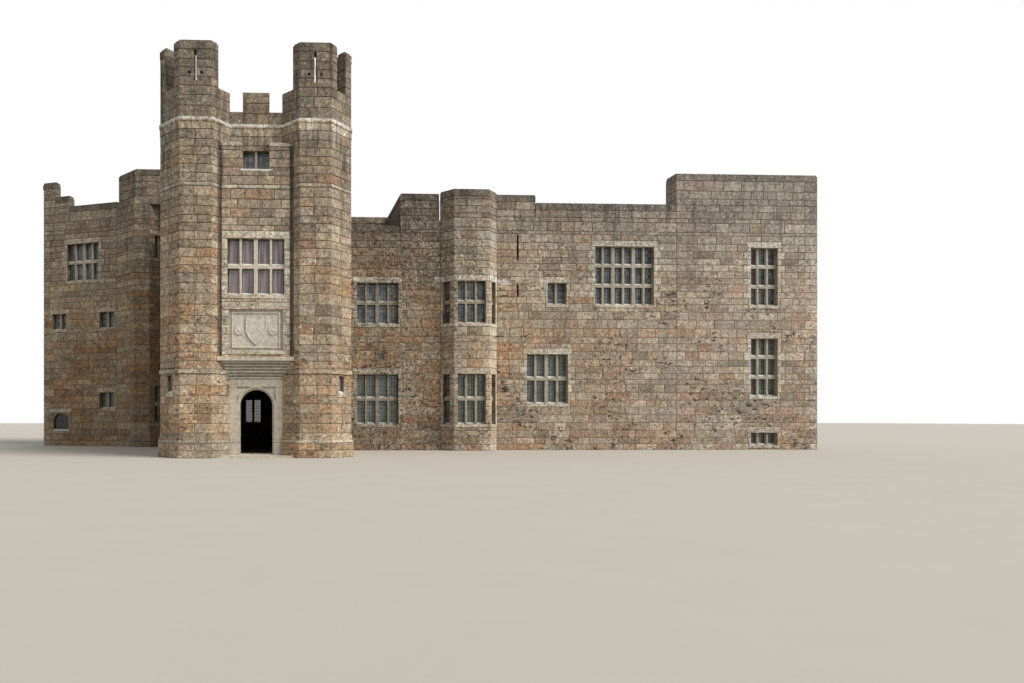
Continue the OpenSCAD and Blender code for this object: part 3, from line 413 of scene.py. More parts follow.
def dressedFinish(name, stain, base, seams):
    # fine tooled granite of the doorway, corbels, mullions and sills, with painted shade in the hollows
    # between the corbel's rolls and painted highlights on faces turned up
    finish = Finish(name, 0.85)
    height, facing = finish.height, finish.facing
    colour, mottle, speckle = addWeather(finish, tone(base), 0.05, stain=stain, grain=0.45)
    # painted shade in the hollow at the foot of each corbel roll
    roll = finish.sum("FRACT", (height - corbel["foot"]) / corbel["roll"])
    hollow = (1 - roll.between(0.10, 0.32)) * (finish.depth < -0.02)
    hollow = hollow * height.within(corbel["foot"], corbel["top"])
    colour = finish.stainedAndShaded(hollow * corbel["dark"], colour, "grime")
    seam = (finish.sum("FRACT", height / 0.41 + 0.32) < 0.035) * (abs(facing) < 0.3)
    # faces turned up are lighter: painted highlight; the seams are dark joint lines
    value = 0.98 + facing.between(0.3, 0.9) * 0.2 - seam * seams
    return finish.paint(finish.brightened(colour, value), mottle * 0.5 + speckle * 0.5, 0.5, 0.01)


pane = {"width": 0.135, "height": 0.175}


def paneFinish(name, curtained):
    # old glass in small panes before a dark room; the panes are opaque, so the dark room is painted into
    # their colour, with brighter panes as painted reflections of the sky
    finish = Finish(name, 0.16)
    column = finish.sum("FLOOR", (finish.across + finish.depth) / pane["width"])
    row = finish.sum("FLOOR", finish.height / pane["height"])
    cell = finish.node("CombineXYZ", {}, {0: column, 1: row})
    lit = finish.node("TexWhiteNoise", {"noise_dimensions": "2D"}, {"Vector": cell})
    waves = finish.noise(5, 2, 0.5)
    # pane by pane, the brighter ones are a painted reflection of the sky
    colour = finish.ramp(waves * 0.6 + lit * 0.4, [(0.30, tone("pane")), (0.75, tone("skyReflectionPane"))])
    # lower windows greener: painted reflection of the ground
    colour = finish.stainedAndShaded((1 - finish.height.between(4.5, 6.0)) * 0.5, colour, "groundReflectionPane")
    # the cellar light is near black: painted shade in its dark opening
    colour = finish.stainedAndShaded(finish.inside("leftBasement") * 0.92, colour, "cellarPane")
    if curtained:
        # the tower's big window has curtains, and its rear ones let light in
        # the darker valleys of the folds are painted shade on the curtains' cloth
        folds = finish.ramp(finish.noise((9, 9, 0.5), 4, 0.6), [(0.36, tone("fold")), (0.62, tone("cloth"))])
        colour = finish.mix(finish.inside("curtained"), colour, folds)
        finish.plug(finish.shader.inputs["Alpha"], 1 - (finish.depth > 3.0) * 0.4)
    return finish.paint(colour, waves, 0.25, 0.03)


def plainFinish(name, base, roughness):
    finish = Finish(name, roughness)
    patches = finish.noise(1.4, 5, 0.6)
    return finish.paint(finish.brightened(tone(base), 0.75 + patches * 0.5), patches, 0.3, 0.01)


stoneMaterial = stoneFinish()
dressedMaterial = dressedFinish("dressed_granite", 0.3, "tooled", 0.28)
reliefMaterial = dressedFinish("carved_granite", 0.12, "carved", 0.2)
sillMaterial = dressedFinish("window_sills", 0.2, "lichen", 0)
mullionMaterial = dressedFinish("window_bars", 0.3, "mullion", 0)
glassMaterial = paneFinish("leaded_glass", False)
curtainMaterial = paneFinish("curtained_glass", True)
cameMaterial = plainFinish("lead_cames", "cames", 0.6)
roofMaterial = plainFinish("roof_lead", "sheetLead", 0.7)
flagMaterial = plainFinish("floor_flags", "flags", 0.8)
print("finishes made")

# Reading the walls of the frame
masonry = [n for n in nodes if not any(word in n for word in ("glass", "mullions", "floors", "roof"))]
covers = [n for n in nodes if "floors" in n or "roof" in n]


def treeOf(names):
    bm = bmesh.new()
    for name in names:
        bm.from_mesh(nodes[name].data)
    tree = BVHTree.FromBMesh(bm)
    bm.free()
    return tree


nodeTrees = {name: treeOf([name]) for name in nodes}
coverTree = treeOf(covers)
wholeTree = treeOf(masonry + covers)
nodeBoxes = {name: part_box(name) for name in nodes}
probe = Vector((0.871, 0.413, 0.267)).normalized()  # runs along no wall


def insideNode(name, point):
    low, high = nodeBoxes[name]
    if any(point[i] < low[i] or point[i] > high[i] for i in range(3)):
        return False
    crossings, start = 0, point.copy()
    while True:
        hit = nodeTrees[name].ray_cast(start, probe)[0]
        if hit is None:
            return crossings % 2 == 1
        crossings += 1
        start = hit + probe * 1e-4


def inMasonry(point):
    return any(insideNode(name, point) for name in masonry)


def mergedLines(values, gap=0.03):
    # sorted places with near doubles left out; both ends stay exact
    values = sorted(values)
    kept = [values[0]]
    for value in values[1:]:
        if value - kept[-1] > gap:
            kept.append(value)
    kept[-1] = values[-1]
    return kept


# One flat upright face of a node, drawn as u along it and z up it
class Face:
    def __init__(self, name, normal, offset):
        self.name = name
        self.normal = normal
        self.offset = offset
        self.along = Vector((-normal.y, normal.x, 0))
        self.triangles = []

    def point(self, u, z, out=0.0):
        return self.along * u + self.normal * (self.offset + out) + up * z

    def add(self, corners):
        self.triangles.append([(self.along.dot(p), p.z) for p in corners])

    def close(self):
        flat = [corner for triangle in self.triangles for corner in triangle]
        self.us = mergedLines([u for u, z in flat])
        self.zs = mergedLines([z for u, z in flat])

    def filled(self, us, zs):
        # which cells of a grid are wall
        midU = (np.array(us[1:]) + us[:-1])[:, None] / 2
        midZ = (np.array(zs[1:]) + zs[:-1])[None, :] / 2
        found = np.zeros((len(us) - 1, len(zs) - 1), bool)
        for (u0, z0), (u1, z1), (u2, z2) in self.triangles:
            side0 = (u1 - u0) * (midZ - z0) - (z1 - z0) * (midU - u0)
            side1 = (u2 - u1) * (midZ - z1) - (z2 - z1) * (midU - u1)
            side2 = (u0 - u2) * (midZ - z2) - (z0 - z2) * (midU - u2)
            found |= (side0 >= 0) & (side1 >= 0) & (side2 >= 0)
            found |= (side0 <= 0) & (side1 <= 0) & (side2 <= 0)
        return found


def uprightFaces(name):
    faces = []
    mesh = nodes[name].data
    for polygon in mesh.polygons:
        normal = polygon.normal
        if abs(normal.z) > 0.02 or polygon.area < 1e-6:
            continue
        corners = [mesh.vertices[i].co for i in polygon.vertices]
        offset = normal.dot(corners[0])
        for face in faces:
            if (face.normal - normal).length < 0.01 and abs(face.offset - offset) < 0.004:
                face.add(corners)
                break
        else:
            faces.append(Face(name, Vector((normal.x, normal.y, 0)).normalized(), offset))
            faces[-1].add(corners)
    for face in faces:
        face.close()
    return faces


def enclosedHoles(us, zs, wall):
    # boxes of the empty cells that wall surrounds
    seen, holes = wall.copy(), []
    for i, j in zip(*np.where(~wall)):
        if seen[i, j]:
            continue
        heap, cells = [(i, j)], []
        seen[i, j] = True
        while heap:
            a, b = heap.pop()
            cells.append((a, b))
            for c, d in ((a + 1, b), (a - 1, b), (a, b + 1), (a, b - 1)):
                if 0 <= c < wall.shape[0] and 0 <= d < wall.shape[1] and not seen[c, d]:
                    seen[c, d] = True
                    heap.append((c, d))
        columns = [a for a, b in cells]
        rows = [b for a, b in cells]
        first, last, low, high = min(columns), max(columns) + 1, min(rows), max(rows) + 1
        if first > 0 and last < wall.shape[0] and low > 0 and high < wall.shape[1]:
            holes.append((us[first], us[last], zs[low], zs[high]))
    return holes


def columnRuns(wall, zs):
    # the upright stretches of wall in each column of cells, as (column, j, k) with the top at zs[k]
    for i in range(len(wall)):
        j = 0
        while j < len(zs) - 1:
            k = j
            while k < len(zs) - 1 and wall[i, k]:
                k += 1
            if k > j:
                yield i, j, k
            j = max(k, j + 1)


def narrowBands(faces):
    # heights of the string courses, copings and caps of a node
    found = set()
    for face in faces:
        for i, j, k in columnRuns(face.filled(face.us, face.zs), face.zs):
            if 0.02 < face.zs[k] - face.zs[j] < stone["bandHeight"]:
                found.add((round(face.zs[j], 4), round(face.zs[k], 4)))
    joined = []
    for low, high in sorted(found):
        if joined and low < joined[-1][1] + 0.005:
            joined[-1][1] = max(high, joined[-1][1])
        else:
            joined.append([low, high])
    return joined


# Stonework
stone = {
    "joint": 0.018, "sunk": 0.004, "proud": 0.010, "uneven": (-0.003, 0.002),
    "chamfer": 0.011, "chamferRise": 0.008, "cushion": 0.035, "cushionRise": 0.004,
    "courses": (0.30, 0.44), "leastCourse": 0.14, "lengths": (0.46, 1.10), "halving": (0.42, 0.58),
    "quoins": (0.62, 0.36), "jambs": (0.20, 0.38), "leastEnd": 0.28, "longestReach": 0.024,
    "lintel": 0.30, "lintelEnds": 0.20, "lintelProud": 0.014,
    "sill": 0.16, "sillEnds": 0.12, "sillProud": 0.022, "sillLength": 1.25,
    "leastStone": (0.06, 0.05), "leastPiece": 0.025, "smallHole": 0.25, "bandHeight": 0.30,
    "dressedTop": 8.6, "top": 16.5, "near": 0.012, "ahead": 0.15,
}
fullProud = stone["proud"] + stone["chamferRise"] + stone["cushionRise"]
wallFaces = {name: uprightFaces(name) for name in masonry}
towerBands = narrowBands(wallFaces["left_turret"])
print("bands of the tower:", [[round(z, 3) for z in band] for band in towerBands])


def makeCourses(seed):
    # beds of the stones, the same all round the building, with a bed at each band of the tower
    rng = random.Random(seed)
    bandEdges = [z for band in towerBands for z in band]
    stops = sorted([0.0, stone["top"], *bandEdges, *tower["thinCourse"]])
    beds = []
    for low, high in zip(stops, stops[1:]):
        heights = []
        while sum(heights) < high - low - stone["courses"][0] / 2:
            heights.append(rng.uniform(*stone["courses"]))
        z = low
        for height in heights:
            beds.append(z)
            z += height * (high - low) / sum(heights)
    return beds


beds = makeCourses(11)


def outside(face, u, z):
    # true where a point just ahead of the face is in the open air
    ahead = face.point(u, z, stone["ahead"])
    if inMasonry(face.point(u, z, 0.006)) or inMasonry(ahead):
        return False
    if coverTree.ray_cast(ahead, up)[0] is not None:
        return False
    return nodeTrees[face.name].ray_cast(ahead, up)[0] is None


def planFace(face):
    # notes what interrupts a wall face, and its courses as {(low, high): [[u0, u1], ...]}
    found = enclosedHoles(face.us, face.zs, face.filled(face.us, face.zs))
    face.holes = [h for h in found if h[1] - h[0] > stone["smallHole"]]
    face.gaps = [h for h in found if h not in face.holes]
    face.zones, face.rows = [], {}
    for u0, u1, z0, z1 in face.holes:
        ends, sillEnds = stone["lintelEnds"], stone["sillEnds"]
        face.zones.append(["lintel", u0 - ends, u1 + ends, z1, z1 + stone["lintel"]])
        if z0 - face.zs[0] > stone["sill"]:
            face.zones.append(["sill", u0 - sillEnds, u1 + sillEnds, z0 - stone["sill"], z0])
    for zone in face.zones:
        if zone[1] - face.us[0] < stone["leastEnd"]:
            zone[1] = face.us[0]
        if face.us[-1] - zone[2] < stone["leastEnd"]:
            zone[2] = face.us[-1]
    us = mergedLines(face.us + [u for zone in face.zones for u in zone[1:3]], stone["near"])
    zs = mergedLines(face.zs + [z for zone in face.zones for z in zone[3:]], stone["near"])
    wall = face.filled(us, zs)
    for i, j, k in columnRuns(wall, zs):
        if zs[k] - zs[j] < stone["bandHeight"]:
            wall[i, j:k] = False  # string courses and copings are worked stone already

    def setCells(u0, u1, z0, z1, value, slack=0.015):
        columns = [a > u0 - slack and b < u1 + slack for a, b in zip(us, us[1:])]
        levels = [a > z0 - slack and b < z1 + slack for a, b in zip(zs, zs[1:])]
        wall[np.ix_(columns, levels)] = value

    for gap in face.gaps:
        setCells(*gap, True)
    for zone in face.zones:
        setCells(*zone[1:], False)
    least = stone["leastCourse"]
    for i, j, k in columnRuns(wall, zs):
        low, high = zs[j], zs[k]
        cuts = [low] + [z for z in beds if low + least < z < high - least] + [high]
        for a, b in zip(cuts, cuts[1:]):
            spans = face.rows.setdefault((round(a, 4), round(b, 4)), [])
            if spans and abs(spans[-1][1] - us[i]) < 1e-6:
                spans[-1][1] = us[i + 1]
            else:
                spans.append([us[i], us[i + 1]])


def roundGaps(box, gaps):
    # a stone's box cut up round the slots and round holes that it would cover
    least = stone["leastPiece"]
    boxes = [box]
    for u0, u1, z0, z1 in gaps:
        left = []
        for a, b, low, high in boxes:
            if b <= u0 or a >= u1 or high <= z0 or low >= z1:
                left.append((a, b, low, high))
                continue
            left += [(a, u0, low, high), (u1, b, low, high)]
            left += [(max(a, u0), min(b, u1), low, z0), (max(a, u0), min(b, u1), z1, high)]
        boxes = [c for c in left if c[1] - c[0] > least and c[3] - c[2] > least]
    return boxes


# every open-air end of a stretch, so that stones on both sides of a corner meet
corners = {}


def cornerKey(point):
    return round(point.x * 10), round(point.y * 10)


def noteCorner(face, u, low, high):
    point = face.point(u, 0)
    corners.setdefault(cornerKey(point), []).append((point, low, high, face.normal))


def cornerTurn(face, u, middle):
    # the angle to the face on the other side of an outer corner, or None
    point = face.point(u, 0)
    keyX, keyY = cornerKey(point)
    around = [(x, y) for x in (keyX - 1, keyX, keyX + 1) for y in (keyY - 1, keyY, keyY + 1)]
    for other, low, high, normal in [note for key in around for note in corners.get(key, ())]:
        turn = normal.dot(face.normal)
        if (other - point).length < stone["near"] and low < middle < high and -0.9 < turn < 0.99:
            return math.acos(turn)
    return None


def endKind(face, u, side, middle):
    # what a stretch ends at: corner, jamb of a hole, inner corner or plain joint
    beyond = u + side * 0.02
    if inMasonry(face.point(beyond, middle, 0.02)):
        return "inner", 0
    if inMasonry(face.point(beyond, middle, -0.012)):
        return "joint", 0
    if any(low - 0.05 < middle < high + 0.05 and abs((left, right)[side < 0] - u) < 0.03
           for left, right, low, high in face.holes):
        return "jamb", 0
    turn = cornerTurn(face, u, middle)
    if turn is None:
        return "corner", 0
    return "corner", min(fullProud * math.tan(turn / 2), stone["longestReach"])


def cutStretch(rng, left, right, startKind, stopKind, course):
    # places of the upright joints between left and right
    odd = course % 2
    start = {"corner": stone["quoins"][odd], "jamb": stone["jambs"][odd]}.get(startKind, 0)
    end = {"corner": stone["quoins"][1 - odd], "jamb": stone["jambs"][odd]}.get(stopKind, 0)
    width = right - left
    shortest, longest = stone["lengths"]
    if width < start + end + shortest:
        if width < longest:
            return [left, right]
        return [left, left + width * rng.uniform(*stone["halving"]), right]
    cuts = [left] + ([left + start] if start else [])
    room = right - end - cuts[-1]
    weights = []
    while sum(weights) < room:
        weights.append(rng.uniform(shortest, longest))
    if len(weights) > 1 and sum(weights) - room > weights[-1] / 2:
        weights.pop()
    at = cuts[-1]
    for weight in weights[:-1]:
        at += weight * room / sum(weights)
        cuts.append(at)
    return cuts + ([right - end] if end else []) + [right]


def boxOn(bm, face, u0, u1, z0, z1, depth0, depth1, slope=0.0):
    # a box from depth0 to depth1 ahead of a wall face; slope drops its front
    squash = Matrix.Diagonal((u1 - u0, depth1 - depth0, z1 - z0, 1))
    lean = Matrix.Identity(4)
    lean[2][1] = slope
    turn = Matrix(((face.along.x, -face.normal.x, 0, 0), (face.along.y, -face.normal.y, 0, 0),
                   (0, 0, 1, 0), (0, 0, 0, 1)))
    place = Matrix.Translation(face.point((u0 + u1) / 2, (z0 + z1) / 2, (depth0 + depth1) / 2))
    return bmesh.ops.create_cube(bm, size=1, matrix=place @ turn @ lean @ squash)["verts"]


def soften(bm, edges, offset, segments=2):
    bmesh.ops.bevel(bm, geom=edges, offset=offset, affect="EDGES", segments=segments, profile=0.5,
                    material=-1)


def facesOf(verts):
    # in the order in which they are met, which is the same in each run
    return list(dict.fromkeys(f for v in verts for f in v.link_faces))


# Collects the stones of one piece and makes them a mesh
class StoneLayer:
    def __init__(self, name):
        self.name = name
        self.bm = bmesh.new()
        self.layers = [self.bm.verts.layers.float.new(name) for name in stoneValues]
        self.fronts = []
        self.facts = []

    def lay(self, face, u0, u1, z0, z1, facts, proud):
        made = boxOn(self.bm, face, u0, u1, z0, z1, -stone["sunk"], proud)
        self.mark(made, facts, 1)
        self.fronts.append(max(facesOf(made), key=lambda f: face.normal.dot(f.calc_center_median())))
        self.facts.append(facts)

    def mark(self, verts, facts, edge):
        tint, shade, aged, dressed = facts
        # shadeOf adds painted shade to the tone of the block and link turret
        shade += shadeOf(self.name)
        for vert in verts:
            for layer, value in zip(self.layers, (tint, shade, aged, edge, dressed)):
                vert[layer] = value

    def finish(self, slot):
        for step, edge in (("chamfer", 0.5), ("cushion", 0)):
            bmesh.ops.inset_individual(self.bm, faces=self.fronts, thickness=stone[step],
                                       depth=stone[step + "Rise"])
            for face, facts in zip(self.fronts, self.facts):
                self.mark(face.verts, facts, edge)
        for vert in self.bm.verts:
            for k in range(3):
                vert.co[k] = max(cadBox[0][k], min(cadBox[1][k], vert.co[k]))
        makePiece(self.name, self.bm, stoneMaterial)


def makePiece(name, bm, material):
    mesh = bpy.data.meshes.new(name)
    bm.to_mesh(mesh)
    bm.free()
    mesh.materials.append(material)
    piece = addObject(name, mesh)
    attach(piece, "root")


def shadeOf(name):
    # the block and link turret behind the tower are darker: partly their darker stone, partly painted shade
    return -0.55 if name.startswith(("left_front", "left_side", "left_rear", "left_parapet", "link")) else 0


def wallKind(name):
    if "crown" in name or name in ("centre_parapet", "tower_rear_parapet"):
        return "crown"
    if "parapet" in name:
        return "parapet"
    if name in ("left_turret", "right_turret") or name.startswith(("centre", "tower")):
        return "tower"
    return "plain"


# Mixture of the stones: warm has the share of warm ones below each height; wearing starts at wornFrom
mixture = {"warm": ((6, 0.30), (10, 0.16), (99, 0.10)), "patchy": 1.6, "pink": 0.10, "dark": 0.08,
           "crownAge": 0.72, "copingAge": 0.8, "coping": 0.4, "parapetAge": 0.42,
           "wornFrom": 8.0, "mostWorn": 0.4, "cornerDressed": 0.35, "courseDressed": 0.5}


def stoneFacts(rng, point, kind, top):
    # tint, tone, age and dressing of one stone; warm stones lie in patches
    z = point.z
    warmth = next(share for below, share in mixture["warm"] if z < below)
    warmth *= 1 + mixture["patchy"] * noise.noise(Vector((point.x * 0.4, point.y * 0.4, z * 0.6)))
    pick = rng.random()
    plain, pink, warm = len(granite["plain"]) * 2, len(granite["pink"]), len(granite["warm"])
    if pick < warmth:
        index = plain + pink + rng.randrange(warm)
    elif pick < warmth + mixture["pink"]:
        index = plain + rng.randrange(pink)
    elif pick < warmth + mixture["pink"] + mixture["dark"]:
        index = len(palette) - 1 - rng.randrange(len(granite["dark"]))
    else:
        index = rng.randrange(plain)
    if kind == "crown":
        aged = mixture["crownAge"]
    elif kind == "parapet":
        aged = mixture["copingAge" if z > top - mixture["coping"] else "parapetAge"]
    else:
        aged = max(0, min(mixture["mostWorn"], (z - mixture["wornFrom"]) * 0.1))
    thin = kind == "tower" and tower["thinCourse"][0] < z < tower["thinCourse"][1]
    tint, shade = (index + 0.5) / len(palette), rng.random()
    return tint, shade, min(1, aged + rng.uniform(-0.1, 0.16)), mixture["courseDressed"] if thin else 0.0


def surroundFacts(rng, name, least=0.3, most=0.7):
    # the same for dressed stones beside, over and under an opening
    if name.startswith(("left", "link")):
        least, most = least * 0.5, most * 0.6
    elif name.startswith("bay"):
        least, most = 0.55, 0.9
    return 0.05, rng.uniform(0.4, 1.0), rng.uniform(0, 0.12), rng.uniform(least, most)


def cornerFacts(face, u, low, middle, kind, top):
    # both faces of a corner stone draw the same facts
    point = face.point(u, middle)
    facts = stoneFacts(random.Random(f"{point.x:.1f} {point.y:.1f} {low:.2f}"), point, kind, top)
    if face.name.startswith(("end_", "bay_")) and kind == "plain":
        return facts[:3] + (mixture["cornerDressed"],)
    return facts


def layZone(layer, face, rng, zone):
    # a lintel or a sill as one to three long stones
    kind, u0, u1, z0, z1 = zone
    count = max(1, round((u1 - u0) / stone["sillLength"]))
    half = stone["joint"] / 2
    for k in range(count):
        a, b = u0 + (u1 - u0) * k / count, u0 + (u1 - u0) * (k + 1) / count
        facts = surroundFacts(rng, face.name, 0.4, 0.8)
        top = z1 if kind == "sill" else z1 - half
        layer.lay(face, a + half, b - half, z0 + half, top, facts, stone[kind + "Proud"])


def gridOn(left, right, low, high, shares, heights):
    return [(left * (1 - s) + right * s, low * (1 - t) + high * t) for s in shares for t in heights]


def layFace(layer, face):
    rng = random.Random(f"{face.name} {face.normal.x:.2f} {face.normal.y:.2f} {face.offset:.2f}")
    kind, top = wallKind(face.name), nodeBoxes[face.name][1].z
    half = stone["joint"] / 2
    for zone in face.zones:
        if outside(face, (zone[1] + zone[2]) / 2, (zone[3] + zone[4]) / 2):
            layZone(layer, face, rng, zone)
    leastLength, leastHeight = stone["leastStone"]
    stretches = [(low, high, *span) for (low, high), spans in sorted(face.rows.items()) for span in spans]
    for low, high, left, right in stretches:
        if high - low < leastHeight or right - left < leastLength:
            continue
        middle = (low + high) / 2
        course = min(range(len(beds)), key=lambda k: abs(beds[k] - low))
        startKind, startReach = endKind(face, left, -1, middle)
        stopKind, stopReach = endKind(face, right, 1, middle)
        cuts = cutStretch(rng, left, right, startKind, stopKind, course)
        for u0, u1 in zip(cuts, cuts[1:]):
            start = startKind if u0 == left else ""
            stop = stopKind if u1 == right else ""
            facts = stoneFacts(rng, face.point((u0 + u1) / 2, middle), kind, top)
            if start == "corner":
                facts = cornerFacts(face, left, low, middle, kind, top)
            elif stop == "corner":
                facts = cornerFacts(face, right, low, middle, kind, top)
            elif "jamb" in (start, stop) and kind in ("tower", "plain"):
                facts = surroundFacts(rng, face.name)
            if face.name == "centre_wall" and middle < stone["dressedTop"]:
                facts = surroundFacts(rng, face.name, 0.4, 0.8)
            samples = [((u0 + u1) / 2, middle)] + gridOn(u0, u1, low, high, (0.1, 0.9), (0.15, 0.85))
            if not any(outside(face, u, z) for u, z in samples):
                continue
            a = u0 - startReach if start == "corner" else u0 + half
            b = u1 + stopReach if stop == "corner" else u1 - half
            proud = stone["proud"] + rng.uniform(*stone["uneven"])
            for box in roundGaps((a, b, low + half, high - half), face.gaps):
                layer.lay(face, *box, facts, proud)


coursedNodes = [n for n in masonry if not n.startswith(("door_", "corbel_", "relief_"))]
coursed = []
for name in coursedNodes:
    for face in wallFaces[name]:
        if face.zs[-1] - face.zs[0] < 0.3 or face.us[-1] - face.us[0] < 0.1:
            continue
        tries = gridOn(face.us[0], face.us[-1], face.zs[0], face.zs[-1],
                       (0.03, 0.2, 0.4, 0.6, 0.8, 0.97), (0.03, 0.3, 0.6, 0.8, 0.97))
        if any(outside(face, u, z) for u, z in tries):
            planFace(face)
            coursed.append(face)
for face in coursed:
    for (low, high), spans in face.rows.items():
        for u in [end for span in spans for end in span]:
            noteCorner(face, u, low, high)
print("walls read:", len(coursed), "faces")

layers = {}
for face in coursed:
    if face.name not in layers:
        layers[face.name] = StoneLayer(face.name + "_stones")
    layFace(layers[face.name], face)
print("stones laid:", sum(len(layer.fronts) for layer in layers.values()))
for name, layer in layers.items():
    layer.finish("weathered_granite" if "parapet" in name or "crown" in name else "coursed_granite")

# Lights of the windows: casements, lead cames and sloped sills
leads = {"casement": 0.030, "casementDepth": 0.022, "came": 0.016, "cameDepth": 0.008, "leastLight": 0.12,
         "sillDepth": 0.11, "sillHeight": 0.07, "sillSlope": 0.45, "sillSunk": 0.012, "sillPlay": 0.004,
         "sillAhead": 0.02, "sillEdge": 0.006, "deepest": 0.6,
         "labelBelow": 2.6, "labelEnds": 0.22, "label": (0.11, 0.17), "labelProud": 0.05}
barFaces = [face for name in nodes if name.endswith("mullions") for face in uprightFaces(name)]
glassTree = treeOf([name for name in nodes if name.endswith("glass")])


def lightsOf(face, hole):
    # the openings between the mullions and transoms of one window
    u0, u1, z0, z1 = hole
    bars = Face("bars", face.normal, face.offset)
    for other in barFaces:
        if other.normal.dot(face.normal) > 0.99 and 0 <= face.offset - other.offset < leads["deepest"]:
            bars.triangles += [t for t in other.triangles
                               if all(u0 - 0.02 < u < u1 + 0.02 and z0 - 0.02 < z < z1 + 0.02 for u, z in t)]
    ends = [end for triangle in bars.triangles for end in triangle]
    us = mergedLines([u0, u1] + [u for u, z in ends], stone["near"])
    zs = mergedLines([z0, z1] + [z for u, z in ends], stone["near"])
    lights, seen = [], bars.filled(us, zs)
    for i, j in zip(*np.where(~seen)):
        if seen[i, j]:
            continue
        k, m = i, j
        while k < len(us) - 1 and not seen[k, j]:
            k += 1
        while m < len(zs) - 1 and not seen[i:k, m].any():
            m += 1
        seen[i:k, j:m] = True
        if us[k] - us[i] > leads["leastLight"] and zs[m] - zs[j] > leads["leastLight"]:
            lights.append((us[i], us[k], zs[j], zs[m]))
    return lights


def glaze(bm, face, light, back, leaded):
    # the casement and the cames of one light
    u0, u1, z0, z1 = light
    rim, front = leads["casement"], back + leads["casementDepth"]
    for a, b, foot, top in ((u0, u0 + rim, z0, z1), (u1 - rim, u1, z0, z1),
                            (u0 + rim, u1 - rim, z0, z0 + rim), (u0 + rim, u1 - rim, z1 - rim, z1)):
        boxOn(bm, face, a, b, foot, top, back, front)
    if not leaded:
        return
    half, front = leads["came"] / 2, back + leads["cameDepth"]
    columns, rows = max(1, round((u1 - u0) / pane["width"])), max(1, round((z1 - z0) / pane["height"]))
    for k in range(1, columns):
        u = u0 + (u1 - u0) * k / columns
        boxOn(bm, face, u - half, u + half, z0 + rim, z1 - rim, back, front)
    for k in range(1, rows):
        z = z0 + (z1 - z0) * k / rows
        boxOn(bm, face, u0 + rim, u1 - rim, z - half, z + half, back, front - 0.001)


def groupOf(name):
    low, high = nodeBoxes[name]
    if low.x > building["tower"]["left"] and high.x < building["tower"]["right"]:
        return "tower"
    return "left" if name.startswith(("left", "link")) else "range"


def addLights(face, hole):
    # glazes one window and counts its lights
    group = groupOf(face.name)
    left, right, low, high = hole
    middle = face.point((left + right) / 2, (low + high) / 2)
    around = [(left - 0.05, middle.z), (right + 0.05, middle.z), ((left + right) / 2, high + 0.05)]
    if not any(outside(face, u, z) for u, z in around):
        return 0
    count = 0
    for u0, u1, z0, z1 in lightsOf(face, hole):
        hit = glassTree.ray_cast(face.point((u0 + u1) / 2, (z0 + z1) / 2, 0.05), -face.normal, 1.2)[0]
        if hit is None:
            continue
        back = face.normal.dot(hit) - face.offset
        leaded = not (group == "tower" and middle.y < 0)
        glaze(glazing.setdefault(group, bmesh.new()), face, (u0, u1, z0, z1), back, leaded)
        play, front = leads["sillPlay"], back + leads["sillAhead"]
        boxOn(sills.setdefault(group, bmesh.new()), face, u0 + play, u1 - play, z0 - leads["sillSunk"],
              z0 + leads["sillHeight"], front, front + leads["sillDepth"], leads["sillSlope"])
        count += 1
    if group == "left" and high < leads["labelBelow"]:
        ends, (foot, top) = leads["labelEnds"], leads["label"]
        boxOn(sills[group], face, left - ends, right + ends, high + foot, high + top, 0, leads["labelProud"])
    return count


glazing, sills = {}, {}
lightCount = 0
for face in coursed:
    lightCount += sum(addLights(face, hole) for hole in face.holes)
# the small window high in the tower has its sill on the front of the centre panel
highPane = [v.co for v in nodes["tower_glass"].data.vertices if v.co.z > 10 and v.co.y < 1.5]
foot = min(co.z for co in highPane)
left, right = min(co.x for co in highPane) - 0.08, max(co.x for co in highPane) + 0.08
panelFront = Face("panel_front", Vector((0, -1, 0)), -nodeBoxes["centre_wall"][0].y)
boxOn(sills["tower"], panelFront, left, right, foot - 0.07, foot, -0.05, 0.035)
for group, bm in glazing.items():
    makePiece(group + "_window_leads", bm, cameMaterial)
for group, bm in sills.items():
    soften(bm, list(bm.edges), leads["sillEdge"])
    makePiece(group + "_window_sills", bm, sillMaterial)
print("lights glazed:", lightCount)

# Panel over the doorway: a plain shield between two rosettes
relief = {"margin": 0.09, "rim": 0.05, "rimProud": 0.045, "rimEdge": 0.009, "sunk": 0.004,
          "shieldWidth": 0.80, "shieldHeight": 1.12, "shoulder": 0.42, "raised": 0.052, "border": 0.045,
          "hollow": 0.016, "edge": 0.012, "rosette": 0.2, "rosetteAt": 0.655, "rosetteRaised": 0.034,
          "petals": 8, "petalDepth": 0.22, "boss": 0.055, "bossFlat": 0.45, "bossAt": 0.038}
reliefLow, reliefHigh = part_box("relief_panel")
panel = Face("relief_panel", Vector((0, -1, 0)), -reliefLow.y)


def pushOut(bm, faces, distance):
    verts = list(dict.fromkeys(v for f in faces for v in f.verts))
    bmesh.ops.translate(bm, verts=verts, vec=panel.normal * distance)


def raiseFrom(bm, verts, height):
    # lifts a flat shape off the panel and eases its edge
    lifted = bmesh.ops.extrude_face_region(bm, geom=facesOf(verts))["geom"]
    top = [f for f in lifted if isinstance(f, bmesh.types.BMFace)]
    pushOut(bm, top, height)
    bmesh.ops.inset_region(bm, faces=top, thickness=relief["edge"], depth=relief["edge"] * 0.5)
    return top


def onPanel(bm, verts, u, z):
    # turns a shape drawn on the ground plane upright and puts it on the panel
    place = Matrix.Translation(panel.point(u, z)) @ Matrix.Rotation(math.radians(90), 4, "X")
    bmesh.ops.transform(bm, matrix=place, verts=verts)


